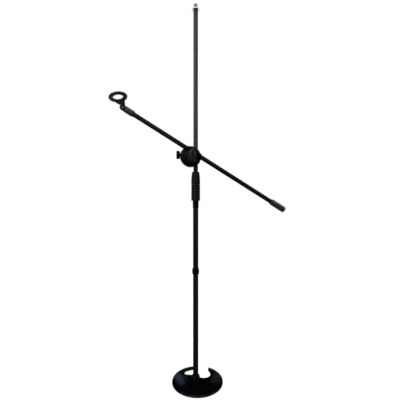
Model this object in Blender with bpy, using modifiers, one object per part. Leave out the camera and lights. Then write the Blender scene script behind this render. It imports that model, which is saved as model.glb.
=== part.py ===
"""Boom microphone stand on a round, slotted cast base.

Metres, +Z up. The origin is where the pole's axis meets the floor.
A telescoping pole with a twist clutch carries a cross clamp, and the clamp carries
a boom with a counterweight at one end and a microphone clip at the other.
"""

import math

import bmesh
import bpy
from mathutils import Matrix

# Fits
GAP = 0.0003  # clearance between pieces that touch
THREAD_GAP = 0.0003  # radial clearance of a screw in its hole
PAST = 0.01  # how far a cutter runs past the face that it opens
EDGE = 0.001  # break of a moulded or turned edge

# Cast base
BASE_R = 0.105
BASE_CENTRE = (0.0075, -0.0025)  # from the pole's axis
BASE_RIM_H = 0.0075  # casting's height at its rim
BASE_CROWN_H = 0.0165  # casting's height at its centre
BASE_EDGE_R = 0.0035  # rounding of the rim
DOME_RINGS = 5  # steps of the top from the crown to the rim
HUB_R = 0.0155
HUB_H = 0.022  # top of the hub above the casting's underside
HUB_FILLET = 0.004
FOOT_H = 0.003
FOOT_R = 0.008
HUB_FOOT_R = 0.012
FOOT_INSET = 0.0105  # rim foot's centre from the casting's edge
FOOT_ANGLES = (35, 140, 220, 320)
SLOT_WALL = 0.0185  # rim left between the slot and the outside
SLOT_MOUTH = (0.000, 0.055)  # ends of the rear arms, across the entry
SLOT_MOUTH_FLARE = 0.003  # widening of the mouth at the outside
SLOT_THROAT = (0.053, 0.078)  # where the right arm reaches furthest in
SLOT_BAY_R = 0.0325  # round bay to the right of the hub
SLOT_BAY_CENTRE = (0.0295, 0.0295)
SLOT_BAY_TOP = 0.054  # where the bay's right wall turns in
SLOT_BAY_TURN = (0.003, 0.008)  # how far in and on that turn goes
SLOT_LEFT = -0.0475  # left end of the slot
SLOT_LEFT_FRONT = 0.027  # front edge of the slot's left end
SLOT_CORNER_R = 0.006
SLOT_HUB_WEB = 0.0035  # casting left between the hub and the slot

# Pole
LOWER_TUBE_R = 0.011
LOWER_TUBE_WALL = 0.001
UPPER_TUBE_R = 0.0095
UPPER_TUBE_WALL = 0.0012
HUB_STUD_R = 0.006
HUB_STUD_DEPTH = 0.017  # in the hub
HUB_STUD_REACH = 0.022  # in the tube
TUBE_PLUG_L = 0.025
HUB_WASHER_R = 0.017
HUB_WASHER_T = 0.0015
COLLAR_Z = 0.461
COLLAR_L = 0.024
COLLAR_R = 0.0147
COLLAR_TOP_R = 0.0125
COLLAR_FOOT_R = 0.0133
COLLAR_TAPER = (0.0045, 0.0013)  # a point of the long taper, down from the top and out from its edge
COLLAR_FULL = 0.0105  # full width below the top
COLLAR_TURN = 0.0035  # height of the turned-in foot
GRIP_BOTTOM = 0.753
GRIP_L = 0.119
GRIP_R = 0.0185
GRIP_TOP_R = 0.0153
GRIP_SHOULDER = 0.045  # length of the tapered, dimpled upper part
GRIP_DIMPLES = 14
GRIP_DIMPLE_DEPTH = 0.0007
GRIP_RING_COUNT = 5
GRIP_RING_DEPTH = 0.0006
GRIP_LIP = 0.0016  # turned-in bottom edge
GRIP_WALL_TOP = 0.0012  # rubber at the grip's top
FERRULE_L = 0.031  # below the grip
FERRULE_WALL = 0.001
CLUTCH_THREAD_L = 0.040
CLUTCH_THREAD_WALL = 0.0017
NUT_WALL = 0.0018
COLLET_L = 0.050
COLLET_TIP_WALL = 0.0018
COLLET_FOOT_L = 0.0125  # plain foot below the cone
COLLET_SLITS = 4
COLLET_SLIT_W = 0.0012
COLLET_SLIT_L = 0.036
TUBE_IN_CLUTCH = 0.048  # lower tube above the grip's bottom
MAST_TOP = 1.5445
MAST_IN_POLE = 0.200  # upper tube below the grip's top
BUSH_L = 0.018
THREAD_R = 0.0079
THREAD_L = 0.0230
THREAD_FLANGE_R = 0.0165
THREAD_FLANGE_H = 0.002
FLANGE_EDGE = 0.0006
PLUG_L = 0.028

# Cross clamp
CLAMP_RISE = 0.0594  # swivel axis above the grip's top
CLAMP_YAW = 12.5  # turn of the clamp about the pole
POLE_OFFSET = 0.0268  # pole axis to swivel axis
BOOM_OFFSET = 0.0183  # boom axis to swivel axis
BOOM_STANDOFF = 0.0397  # boom axis in front of the pole axis
BOOM_TILT = 30.5
LINER_WALL = 0.0014
LINER_LIP = 0.002  # height of the liner's collar above the sleeve
CLAMP_SLEEVE_WALL = 0.005
CLAMP_SLEEVE_L = 0.046
REAR_DISC_R = 0.034
REAR_DISC_BACK = 0.006
REAR_DISC_FRONT = 0.020
REAR_DISC_BEVEL = (0.006, 0.004)  # across and along the edge at its back
SWIVEL_STUD_R = 0.004
SWIVEL_STUD_DEPTH = 0.010  # in the rear disc
WASHER_T = 0.002
WASHER_R = 0.029
WHEEL_R = 0.0436
WHEEL_FACE_R = 0.031  # smooth middle of the ribbed wheel
WHEEL_RIM_T = 0.0085
WHEEL_RIBS = 36
WHEEL_RIB_DEPTH = 0.0016
WHEEL_BEVEL = 0.002  # slope at both sides of the ribs
CLAMP_SPLIT = 0.0016  # gap between wheel and cap when the boom is held
CHANNEL_WALL = 0.0038
CHANNEL_INSET = 0.0005  # channel's ends inside the roots of the ribs
CAP_R = 0.031
CAP_RIM_T = 0.003
CAP_H = 0.0135
CAP_LAND_R = 0.0105  # flat for the knob's washer

# Knobs
KNOB_CROWN = 0.35  # height of the domed end, of the hub's radius
KNOB_WING_ROUND = 0.22  # rounding of a wing's edges, of its thickness
KNOB_WASHER_T = 0.0012
KNOB_WASHER_R = 0.010
KNOB_HUB_R = 0.0115
KNOB_L = 0.019
KNOB_SPAN = 0.054
KNOB_WING_T = 0.0085
KNOB_WING_LOW = 0.003  # wings' lower edge above the knob's back
KNOB_CORNER = 0.0065  # rounding of the wings' tips
NUT_R = 0.0072
NUT_H = 0.0065
STUD_IN_KNOB = 0.011
POLE_SCREW_RISE = 0.0094  # above the swivel axis
POLE_SCREW_R = 0.003
POLE_SCREW_BOSS_R = 0.0085
POLE_SCREW_BOSS_L = 0.026  # beyond the sleeve
PAD_R = 0.005
PAD_T = 0.0025
PAD_STROKE = 0.0015  # room for the pad to draw back
POLE_KNOB_OUT = 0.0575  # pole axis to the knob
POLE_KNOB_HUB_R = 0.0075
POLE_KNOB_L = 0.024
POLE_KNOB_WING_LOW = 0.0085
POLE_KNOB_SPAN = 0.033
POLE_KNOB_WING_T = 0.006
POLE_KNOB_CORNER = 0.0035
POLE_SCREW_IN_KNOB = 0.012

# Boom
BOOM_R = 0.0092
BOOM_WALL = 0.001
BOOM_FRONT = 0.2706  # clamp to the clip end of the tube
BOOM_REAR = 0.456  # clamp to the weight end of the tube
WEIGHT_L = 0.072
WEIGHT_TAPER = 0.009  # narrowing front end of the rubber
WEIGHT_LIP = 0.001  # rubber at the taper's thin end
WEIGHT_CORE_WALL = 0.002
WEIGHT_SLEEVE_WALL = 0.0014
WEIGHT_RINGS = 7
WEIGHT_RING_DEPTH = 0.0005
WEIGHT_END_T = 0.005
WEIGHT_END_R = 0.004
WEIGHT_PLAIN = 0.003  # smooth rubber at both ends of the rings
END_PLUG_L = 0.012
BOOM_FLANGE_H = 0.001
BOOM_THREAD_L = 0.022

# Microphone clip
CLIP_ROLL = -15.7  # turn of the adapter about the boom
ADAPTER_R = 0.0125
ADAPTER_BODY_L = 0.034
ADAPTER_NECK_R = 0.0108
ADAPTER_NECK_L = 0.006
ADAPTER_SHOULDER = 0.005
PIN_OUT = 0.0472  # pin beyond the end of the boom tube
PIN_R = 0.003
PIN_HEAD_R = 0.0042
PIN_HEAD_T = 0.002
PIN_NUT_R = 0.0055
PIN_NUT_T = 0.004
FORK_R = 0.0115
FORK_W = 0.020
TONGUE_W = 0.0104
TONGUE_R = 0.0092
INSERT_L = 0.025
INSERT_WALL = 0.0018
CLIP_TILT = 43  # turn of the clip about its pin
RING_RISE = 0.0378  # ring's centre above the pin
RING_OUT = 0.005  # ring's centre beyond the pin
RING_FRONT = 0.0243  # ring's centre in front of the neck
RING_LEAN = 24  # rise of the ring from the neck to its front, in degrees
RING_R = 0.0345
RING_HOLE_R = 0.0182
RING_H = 0.0092
NECK_RIGHT = 0.0122  # neck's edge on the boom's side, under the ring
NECK_LEFT = 0.0215  # top of the gusset on the far side
GUSSET_EDGE = 0.0065  # depth of the gusset's free edge under the ring
GUSSET_FOOT = (0.0085, 0.0047)  # where the gusset meets the tongue, above and beyond the pin

RING_ROUND = 32  # facets of the microphone ring
KNOB_ROUND = 18  # facets of a knob's hub and of the counterweight
LARGE_ROUND = 40  # facets of the base
ROUND = 28  # facets of a visible turned piece
SMALL_ROUND = 16  # facets of a small or hidden one

for leftover in list(bpy.data.objects):
    bpy.data.objects.remove(leftover, do_unlink=True)

STAND = bpy.data.collections.new("boom_microphone_stand")
CUTTERS = bpy.data.collections.new("cutters")
bpy.context.scene.collection.children.link(STAND)
bpy.context.scene.collection.children.link(CUTTERS)


# Finishes
def finish(name, colour, roughness, metallic=0.0):
    """A Principled material with one colour, roughness and metallic value."""
    material = bpy.data.materials.new(name)
    material.use_nodes = True
    shader = material.node_tree.nodes["Principled BSDF"]
    shader.inputs["Base Color"].default_value = (*colour, 1.0)
    shader.inputs["Roughness"].default_value = roughness
    shader.inputs["Metallic"].default_value = metallic
    return material


BLACK_CASTING = finish("textured_black_coat", (0.012, 0.012, 0.016), 0.55)
BLACK_TUBE = finish("black_powder_coat", (0.010, 0.011, 0.013), 0.40)
SATIN_TUBE = finish("satin_black_coat", (0.030, 0.034, 0.037), 0.32)
BLACK_NYLON = finish("black_nylon", (0.014, 0.017, 0.022), 0.45)
BLACK_RUBBER = finish("black_rubber", (0.012, 0.014, 0.016), 0.75)
CHROME = finish("chrome", (0.75, 0.76, 0.78), 0.12, 1.0)
STEEL = finish("zinc_plated_steel", (0.55, 0.56, 0.58), 0.35, 1.0)
BRASS = finish("brass", (0.72, 0.53, 0.25), 0.35, 1.0)
FIBRE = finish("fibre_washer", (0.10, 0.06, 0.04), 0.80)


# Shared ways of making a shape
def frame(name, parent=None, location=(0, 0, 0), turn=(0, 0, 0)):
    """An empty whose axes a group of pieces shares. Turns are in degrees."""
    empty = bpy.data.objects.new(name, None)
    empty.parent = parent
    empty.location = location
    empty.rotation_euler = [math.radians(angle) for angle in turn]
    STAND.objects.link(empty)
    return empty


def place(name, mesh, parent, material=None, location=(0, 0, 0), turn=(0, 0, 0)):
    """An object of the stand or, without a material, a cutter."""
    piece = bpy.data.objects.new(name, mesh)
    piece.parent = parent
    piece.location = location
    piece.rotation_euler = [math.radians(angle) for angle in turn]
    if material:
        mesh.materials.append(material)
        STAND.objects.link(piece)
    else:
        piece.hide_render = True
        piece.display_type = "WIRE"
        CUTTERS.objects.link(piece)
    return piece


def turned(name, profile, parent, material=None, facets=ROUND, hollow=False, **where):
    """A profile of (radius, height) turned about Z, run down its outer side.

    A hollow profile is a closed loop. Another starts and ends on the axis.
    """
    mesh = bpy.data.meshes.new(name)
    count = len(profile)
    edges = [(i, i + 1) for i in range(count - 1)]
    if hollow:
        edges.append((count - 1, 0))
    mesh.from_pydata([(r, 0, z) for r, z in profile], edges, [])
    piece = place(name, mesh, parent, material, **where)
    screw = piece.modifiers.new("turn", "SCREW")
    screw.steps = screw.render_steps = facets
    screw.use_merge_vertices = True
    screw.merge_threshold = 0.00001
    return piece


def tube(name, inner, outer, low, high, parent, material=None, **how):
    """A plain ring or pipe."""
    loop = [(outer, high), (outer, low), (inner, low), (inner, high)]
    return turned(name, loop, parent, material, hollow=True, **how)


def rod(name, radius, low, high, parent, material=None, **how):
    """A plain cylinder along Z."""
    return turned(name, [(0, high), (radius, high), (radius, low), (0, low)], parent, material, **how)


def fluted(name, rings, flutes, parent, material, steps_per_flute=3, **where):
    """A turned closed loop of (radius, height, depth) whose rings wave in and out by depth."""
    count = flutes * steps_per_flute
    work = bmesh.new()
    loops = []
    for radius, height, depth in rings:
        loop = []
        for i in range(count):
            angle = math.tau * i / count
            r = radius - depth * (0.5 - 0.5 * math.cos(flutes * angle))
            loop.append(work.verts.new((r * math.cos(angle), r * math.sin(angle), height)))
        loops.append(loop)
    for upper, lower in zip(loops, loops[1:] + loops[:1]):
        for i in range(count):
            j = (i + 1) % count
            work.faces.new((upper[i], lower[i], lower[j], upper[j]))
    mesh = bpy.data.meshes.new(name)
    work.to_mesh(mesh)
    work.free()
    mesh.shade_smooth()
    mesh.set_sharp_from_angle(angle=math.radians(40))
    return place(name, mesh, parent, material, **where)


def arc(centre, radius, start, end, steps):
    """Points along a circle, from one angle in degrees to another."""
    angles = [math.radians(start + (end - start) * i / steps) for i in range(steps + 1)]
    return [(centre[0] + radius * math.cos(a), centre[1] + radius * math.sin(a)) for a in angles]


def plate(name, outline, low, high, parent, material=None, axes="xy", **where):
    """A flat outline with a thickness. Axes names the plane that the outline is drawn in."""
    curve = bpy.data.curves.new(name, "CURVE")
    curve.dimensions = "2D"
    curve.fill_mode = "BOTH"
    curve.extrude = (high - low) / 2
    spline = curve.splines.new("POLY")
    spline.points.add(len(outline) - 1)
    for point, (x, y) in zip(spline.points, outline):
        point.co = (x, y, 0, 1)
    spline.use_cyclic_u = True
    guide = bpy.data.objects.new(name, curve)
    bpy.context.scene.collection.objects.link(guide)
    graph = bpy.context.evaluated_depsgraph_get()
    mesh = bpy.data.meshes.new_from_object(guide.evaluated_get(graph))
    bpy.data.objects.remove(guide, do_unlink=True)
    bpy.data.curves.remove(curve)
    mesh.name = name
    work = bmesh.new()
    work.from_mesh(mesh)
    bmesh.ops.remove_doubles(work, verts=work.verts, dist=0.00001)
    bmesh.ops.translate(work, verts=work.verts, vec=(0, 0, (high + low) / 2))
    columns = {"xy": "xyz", "yz": "yzx", "zx": "zxy"}[axes]
    swap = Matrix.Identity(3)
    for column, axis in enumerate(columns):
        swap.col[column] = [1.0 if letter == axis else 0.0 for letter in "xyz"]
    bmesh.ops.transform(work, matrix=swap.to_4x4(), verts=work.verts)
    bmesh.ops.recalc_face_normals(work, faces=work.faces)
    work.to_mesh(mesh)
    work.free()
    return place(name, mesh, parent, material, **where)


def combine(piece, other, operation):
    """Joins another shape to a piece, or cuts it out."""
    step = piece.modifiers.new(other.name, "BOOLEAN")
    step.operation = operation
    step.solver = "EXACT"
    step.object = other


def cut(piece, other):
    combine(piece, other, "DIFFERENCE")


def join(piece, other):
    combine(piece, other, "UNION")


def rounded(piece, width, segments=2):
    """Rounds the sharp edges of a piece."""
    bevel = piece.modifiers.new("rounded", "BEVEL")
    bevel.width = width
    bevel.segments = segments
    bevel.limit_method = "ANGLE"
    bevel.angle_limit = math.radians(50)


# Cast base, its feet and its stud
def dome_height(radius, edge):
    """Height of the casting's top, a shallow bowl-shaped arc from the crown to the rim."""
    return BASE_CROWN_H - (BASE_CROWN_H - BASE_RIM_H) * (radius / edge) ** 2


def slot_outline():
    """The slot from above: the mouth's right side, the bay, the hub, the left end and the rear arm."""
    cx, cy = BASE_CENTRE
    inner_r = BASE_R - SLOT_WALL
    left_arm, right_arm = SLOT_MOUTH
    outside = cy + BASE_R + PAST
    rim_y = cy + math.sqrt(BASE_R**2 - (right_arm - cx) ** 2)
    mouth = [(right_arm + SLOT_MOUTH_FLARE, outside), (right_arm, rim_y - SLOT_MOUTH_FLARE), SLOT_THROAT]
    bay_right = SLOT_BAY_CENTRE[0] + SLOT_BAY_R
    turn_in, turn_on = SLOT_BAY_TURN
    bay = [(bay_right - turn_in, SLOT_BAY_TOP + turn_on), (bay_right, SLOT_BAY_TOP)]
    bay += arc(SLOT_BAY_CENTRE, SLOT_BAY_R, 0, -115, 10)
    hub = arc((0, 0), HUB_R + SLOT_HUB_WEB, 20, 115, 8)
    corner = (SLOT_LEFT + SLOT_CORNER_R, SLOT_LEFT_FRONT + SLOT_CORNER_R)
    rear_start = math.acos((corner[0] - cx) / inner_r)
    rear_y = cy + inner_r * math.sin(rear_start)
    left = arc(corner, SLOT_CORNER_R, 255, 180, 4) + [(SLOT_LEFT, rear_y - 1.5 * SLOT_CORNER_R)]
    meet = math.acos((left_arm - cx) / inner_r)
    rear = arc((cx, cy), inner_r, math.degrees(rear_start), math.degrees(meet), 8)
    return mouth + bay + hub + left + rear + [(left_arm + SLOT_MOUTH_FLARE, outside)]


def build_base():
    base = frame("base_frame", location=(*BASE_CENTRE, FOOT_H))
    flat_r = BASE_R - BASE_EDGE_R
    rings = [flat_r * i / DOME_RINGS for i in range(DOME_RINGS + 1)]
    dome = [(radius, dome_height(radius, flat_r)) for radius in rings]
    edge_z = BASE_RIM_H - BASE_EDGE_R
    edge = [(flat_r + x, edge_z + y) for x, y in arc((0, 0), BASE_EDGE_R, 60, 0, 3)]
    bottom = [(BASE_R - EDGE, 0), (0, 0)]
    casting = turned("base_casting", dome + edge + bottom, base, BLACK_CASTING, facets=LARGE_ROUND)
    pole = frame("hub_frame", location=(0, 0, FOOT_H))
    cut(casting, plate("slot_cutter", slot_outline(), -PAST, HUB_H + PAST, pole))
    hub_profile = [
        (0, HUB_H),
        (HUB_R - EDGE, HUB_H),
        (HUB_R, HUB_H - EDGE),
        (HUB_R, BASE_CROWN_H + HUB_FILLET / 2),
        (HUB_R + HUB_FILLET / 2, BASE_CROWN_H - HUB_FILLET / 4),
        (HUB_R + HUB_FILLET / 2, BASE_CROWN_H / 2),
        (0, BASE_CROWN_H / 2),
    ]
    join(casting, turned("hub_boss", hub_profile, pole))
    stud_bottom = HUB_H - HUB_STUD_DEPTH
    cut(casting, rod("stud_hole", HUB_STUD_R + THREAD_GAP, stud_bottom - GAP, HUB_H + PAST, pole))
    rod("hub_stud", HUB_STUD_R, stud_bottom, HUB_H + HUB_STUD_REACH, pole, STEEL, facets=SMALL_ROUND)
    rod("hub_foot", HUB_FOOT_R, -FOOT_H, -GAP, pole, BLACK_RUBBER, facets=SMALL_ROUND)
    for number, angle in enumerate(FOOT_ANGLES, 1):
        a = math.radians(angle)
        out = BASE_R - FOOT_INSET
        spot = (out * math.cos(a), out * math.sin(a), 0)
        pad = [(0, -GAP), (FOOT_R, -GAP), (FOOT_R - EDGE, -FOOT_H), (0, -FOOT_H)]
        turned(f"rim_foot_{number}", pad, base, BLACK_RUBBER, facets=SMALL_ROUND, location=spot)


# Lower pole with its coupling, and the fixed half of the clutch
def build_lower_pole():
    pole = frame("lower_pole_frame")
    washer_low = FOOT_H + HUB_H + GAP
    hub_top = washer_low + HUB_WASHER_T
    stud_bore = HUB_STUD_R + THREAD_GAP
    tube("hub_washer", stud_bore, HUB_WASHER_R, washer_low, hub_top, pole, STEEL)
    bore = LOWER_TUBE_R - LOWER_TUBE_WALL
    tube_top = GRIP_BOTTOM + TUBE_IN_CLUTCH
    tube("lower_tube_bottom", bore, LOWER_TUBE_R, hub_top + GAP, COLLAR_Z - GAP / 2, pole, BLACK_TUBE)
    tube("lower_tube_top", bore, LOWER_TUBE_R, COLLAR_Z + GAP / 2, tube_top, pole, BLACK_TUBE)
    tube(
        "tube_plug",
        stud_bore,
        bore - GAP,
        hub_top + GAP,
        hub_top + TUBE_PLUG_L,
        pole,
        STEEL,
        facets=SMALL_ROUND,
    )
    half = COLLAR_L / 2
    sleeve_bore = LOWER_TUBE_R + GAP
    taper_down, taper_out = COLLAR_TAPER
    barrel = [
        (COLLAR_TOP_R, half),
        (COLLAR_TOP_R + taper_out, half - taper_down),
        (COLLAR_R, half - COLLAR_FULL),
        (COLLAR_R, COLLAR_TURN - half),
        (COLLAR_FOOT_R, -half),
        (sleeve_bore, -half),
        (sleeve_bore, half),
    ]
    turned("coupling_sleeve", barrel, pole, BLACK_NYLON, hollow=True, location=(0, 0, COLLAR_Z))
    build_clutch_body(pole, sleeve_bore)
    build_collet(pole, tube_top + GAP)


def build_clutch_body(pole, bore):
    """Ferrule on the lower tube with the clutch's outside thread above it."""
    thread_r = bore + CLUTCH_THREAD_WALL
    thread_low = GRIP_BOTTOM + 2 * GAP
    body = [
        (thread_r, thread_low + CLUTCH_THREAD_L),
        (thread_r, thread_low),
        (bore + FERRULE_WALL, thread_low - GAP),
        (bore + FERRULE_WALL, GRIP_BOTTOM - FERRULE_L),
        (bore, GRIP_BOTTOM - FERRULE_L),
        (bore, thread_low + CLUTCH_THREAD_L),
    ]
    turned("clutch_ferrule", body, pole, BLACK_NYLON, hollow=True)


def build_collet(pole, low):
    """Split nylon cone that the nut closes on the upper tube."""
    bore = UPPER_TUBE_R + GAP
    foot_r = LOWER_TUBE_R + GAP + CLUTCH_THREAD_WALL
    cone = [
        (bore + COLLET_TIP_WALL, low + COLLET_L),
        (foot_r, low + COLLET_FOOT_L),
        (foot_r, low),
        (bore, low),
        (bore, low + COLLET_L),
    ]
    collet = turned("clutch_collet", cone, pole, BLACK_NYLON, facets=SMALL_ROUND, hollow=True)
    half = COLLET_SLIT_W / 2
    reach = LOWER_TUBE_R + PAST
    slit_low = low + COLLET_L - COLLET_SLIT_L
    slit_high = low + COLLET_L + PAST
    for i in range(COLLET_SLITS):
        slit = [(bore / 2, -half), (reach, -half), (reach, half), (bore / 2, half)]
        turn = (0, 0, 360 * (i + 0.5) / COLLET_SLITS)
        cut(collet, plate(f"collet_slit_{i + 1}", slit, slit_low, slit_high, pole, turn=turn))


# Twist grip of the clutch
def build_grip():
    grip = frame("grip_frame", location=(0, 0, GRIP_BOTTOM))
    thread_bore = LOWER_TUBE_R + GAP + CLUTCH_THREAD_WALL + THREAD_GAP
    nut_r = thread_bore + NUT_WALL
    top_bore = UPPER_TUBE_R + 2 * GAP
    cone_low = TUBE_IN_CLUTCH + COLLET_FOOT_L + 2 * EDGE
    cone_high = TUBE_IN_CLUTCH + COLLET_L + 2 * GAP
    nut_top_r = GRIP_TOP_R - GRIP_WALL_TOP
    shoulder = GRIP_L - GRIP_SHOULDER
    nut = [
        (nut_top_r, GRIP_L - EDGE),
        (nut_r, shoulder),
        (nut_r, EDGE),
        (thread_bore, EDGE),
        (thread_bore, cone_low),
        (UPPER_TUBE_R + COLLET_TIP_WALL + 3 * GAP, cone_high),
        (top_bore, cone_high + EDGE),
        (top_bore, GRIP_L - EDGE),
    ]
    turned("clutch_nut", nut, grip, BLACK_NYLON, facets=SMALL_ROUND, hollow=True)
    rings = [(GRIP_TOP_R - GRIP_DIMPLE_DEPTH, GRIP_L, 0), (GRIP_TOP_R, GRIP_L - EDGE, GRIP_DIMPLE_DEPTH / 2)]
    for i in range(1, 5):
        share = i / 5
        radius = GRIP_TOP_R + (GRIP_R - GRIP_TOP_R) * math.sin(share * math.pi / 2)
        rings.append((radius, GRIP_L - EDGE - share * (GRIP_SHOULDER - EDGE), GRIP_DIMPLE_DEPTH))
    pitch = shoulder / (GRIP_RING_COUNT + 0.5)
    for i in range(GRIP_RING_COUNT):
        top = shoulder - i * pitch
        rings += [(GRIP_R, top, 0), (GRIP_R - GRIP_RING_DEPTH, top - 0.5 * pitch, 0)]
    rings += [(GRIP_R, 0.5 * pitch, 0), (GRIP_R - GRIP_LIP / 4, GRIP_LIP, 0), (GRIP_R - GRIP_LIP, 0, 0)]
    rings += [(nut_r + GAP, 0, 0), (nut_r + GAP, shoulder, 0), (nut_top_r + GAP, GRIP_L, 0)]
    fluted("clutch_grip", rings, GRIP_DIMPLES, grip, BLACK_RUBBER)


# Upper pole
def build_mast():
    mast = frame("mast_frame", location=(0, 0, MAST_TOP))
    low = GRIP_BOTTOM + GRIP_L - MAST_IN_POLE - MAST_TOP
    bore = UPPER_TUBE_R - UPPER_TUBE_WALL
    tube("upper_tube", bore, UPPER_TUBE_R, low, 0, mast, SATIN_TUBE)
    guide_r = LOWER_TUBE_R - LOWER_TUBE_WALL - GAP
    bush = [
        (bore - GAP, low + BUSH_L),
        (bore - GAP, low - GAP),
        (guide_r, low - GAP),
        (guide_r, low - GAP - BUSH_L / 2),
        (bore - 2 * UPPER_TUBE_WALL, low - GAP - BUSH_L / 2),
        (bore - 2 * UPPER_TUBE_WALL, low + BUSH_L),
    ]
    turned("mast_bush", bush, mast, BLACK_NYLON, facets=SMALL_ROUND, hollow=True)
    build_thread("thread_insert", mast, 0, bore, THREAD_FLANGE_R, THREAD_FLANGE_H, THREAD_L, CHROME)


def build_thread(name, parent, end, bore, flange_r, flange_h, length, material, facets=ROUND):
    """Threaded end of a tube: a plug in its bore, a flange on its end face and the threaded stub."""
    top = end + GAP + flange_h + length
    stub = [
        (0, top),
        (THREAD_R - EDGE, top),
        (THREAD_R, top - EDGE),
        (THREAD_R, end + GAP + flange_h),
        (flange_r - FLANGE_EDGE, end + GAP + flange_h),
        (flange_r, end + GAP + flange_h / 2),
        (flange_r - FLANGE_EDGE, end + GAP),
        (bore - GAP, end + GAP),
        (bore - GAP, end - PLUG_L),
        (0, end - PLUG_L),
    ]
    turned(name, stub, parent, material, facets=facets)


# Half of the cross clamp that holds the pole, with its screw
def build_pole_clamp():
    height = GRIP_BOTTOM + GRIP_L + CLAMP_RISE
    clamp = frame("pole_clamp_frame", location=(0, 0, height), turn=(0, 0, CLAMP_YAW))
    half = CLAMP_SLEEVE_L / 2
    liner_r = UPPER_TUBE_R + GAP + LINER_WALL
    sleeve_bore = liner_r + GAP
    sleeve_r = sleeve_bore + CLAMP_SLEEVE_WALL
    lip_r = sleeve_bore + CLAMP_SLEEVE_WALL / 2
    liner = [
        (lip_r, half + GAP + LINER_LIP),
        (lip_r, half + GAP),
        (liner_r, half + GAP),
        (liner_r, -half),
        (UPPER_TUBE_R + GAP, -half),
        (UPPER_TUBE_R + GAP, half + GAP + LINER_LIP),
    ]
    turned("clamp_liner", liner, clamp, BLACK_NYLON, facets=SMALL_ROUND, hollow=True)

    swivel = frame("swivel_frame", clamp, (-POLE_OFFSET, 0, 0), (90, 0, 0))
    screw = frame("pole_screw_frame", clamp, (0, 0, POLE_SCREW_RISE), (0, -90, 0))
    bevel_across, bevel_along = REAR_DISC_BEVEL
    disc = [
        (0, REAR_DISC_FRONT),
        (REAR_DISC_R, REAR_DISC_FRONT),
        (REAR_DISC_R, REAR_DISC_BACK + bevel_along),
        (REAR_DISC_R - bevel_across, REAR_DISC_BACK),
        (0, REAR_DISC_BACK),
    ]
    body = turned("pole_clamp", disc, swivel, BLACK_NYLON)
    join(body, rod("clamp_sleeve", sleeve_r, -half, half, clamp))
    join(body, rod("screw_boss", POLE_SCREW_BOSS_R, 0, sleeve_r + POLE_SCREW_BOSS_L, screw))
    stud_low = REAR_DISC_FRONT - SWIVEL_STUD_DEPTH
    stud_hole_r = SWIVEL_STUD_R + THREAD_GAP
    past_disc = REAR_DISC_FRONT + PAST
    cut(body, rod("swivel_hole", stud_hole_r, stud_low - GAP, past_disc, swivel, facets=SMALL_ROUND))
    past_clamp = max(half, REAR_DISC_R) + PAST
    turn = (0, 0, 180 / ROUND)
    cut(body, rod("pole_bore", sleeve_bore, -past_clamp, past_clamp, clamp, turn=turn))
    cut(body, rod("lip_room", lip_r + GAP, half + GAP / 2, past_clamp, clamp, turn=turn))
    pad_low = liner_r + GAP
    pad_room = pad_low + PAD_T + PAD_STROKE
    half_facet = {"facets": SMALL_ROUND, "turn": (0, 0, 180 / SMALL_ROUND)}
    cut(body, rod("pad_hole", PAD_R + THREAD_GAP, 0, pad_room, screw, **half_facet))
    screw_hole_end = sleeve_r + POLE_SCREW_BOSS_L + PAST
    cut(body, rod("screw_hole", POLE_SCREW_R + THREAD_GAP, 0, screw_hole_end, screw, **half_facet))

    rod("pressure_pad", PAD_R, pad_low, pad_low + PAD_T, screw, BRASS, facets=SMALL_ROUND)
    screw_low = pad_low + PAD_T + GAP
    screw_high = POLE_KNOB_OUT + POLE_SCREW_IN_KNOB
    rod("pole_screw", POLE_SCREW_R, screw_low, screw_high, screw, STEEL, facets=SMALL_ROUND)
    knob = frame("pole_knob_frame", screw, (0, 0, POLE_KNOB_OUT), (0, 0, 90))
    wing = (POLE_KNOB_SPAN, POLE_KNOB_WING_T, POLE_KNOB_WING_LOW, POLE_KNOB_CORNER)
    wings = wing_knob("pole_knob", knob, POLE_KNOB_HUB_R, POLE_KNOB_L, *wing)
    socket = POLE_SCREW_IN_KNOB + GAP
    cut(wings, rod("pole_knob_hole", POLE_SCREW_R + GAP, -PAST, socket, knob, **half_facet))
    return swivel, stud_low


def wing_knob(name, parent, hub_r, length, span, wing_t, low, corner):
    """Moulded knob with two wings along Y. Z is its axis, and its back is at zero."""
    dome = arc((0, 0), 1, 90, 0, 4)
    crown = hub_r * KNOB_CROWN
    hub = [(hub_r * x, length - crown + crown * y) for x, y in dome]
    hub += [(hub_r, EDGE), (hub_r - EDGE, 0), (0, 0)]
    piece = turned(name, hub, parent, BLACK_NYLON, facets=KNOB_ROUND)
    tip = span / 2 - corner
    right = arc((tip, low + corner), corner, -90, 0, 3) + arc((tip, length - corner), corner, 0, 90, 3)
    left = [(-y, z) for y, z in reversed(right)]
    outline = right + [(0, length - crown)] + left
    wings = plate(f"{name}_wings", outline, -wing_t / 2, wing_t / 2, parent, axes="yz")
    rounded(wings, wing_t * KNOB_WING_ROUND)
    join(piece, wings)
    return piece


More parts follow.
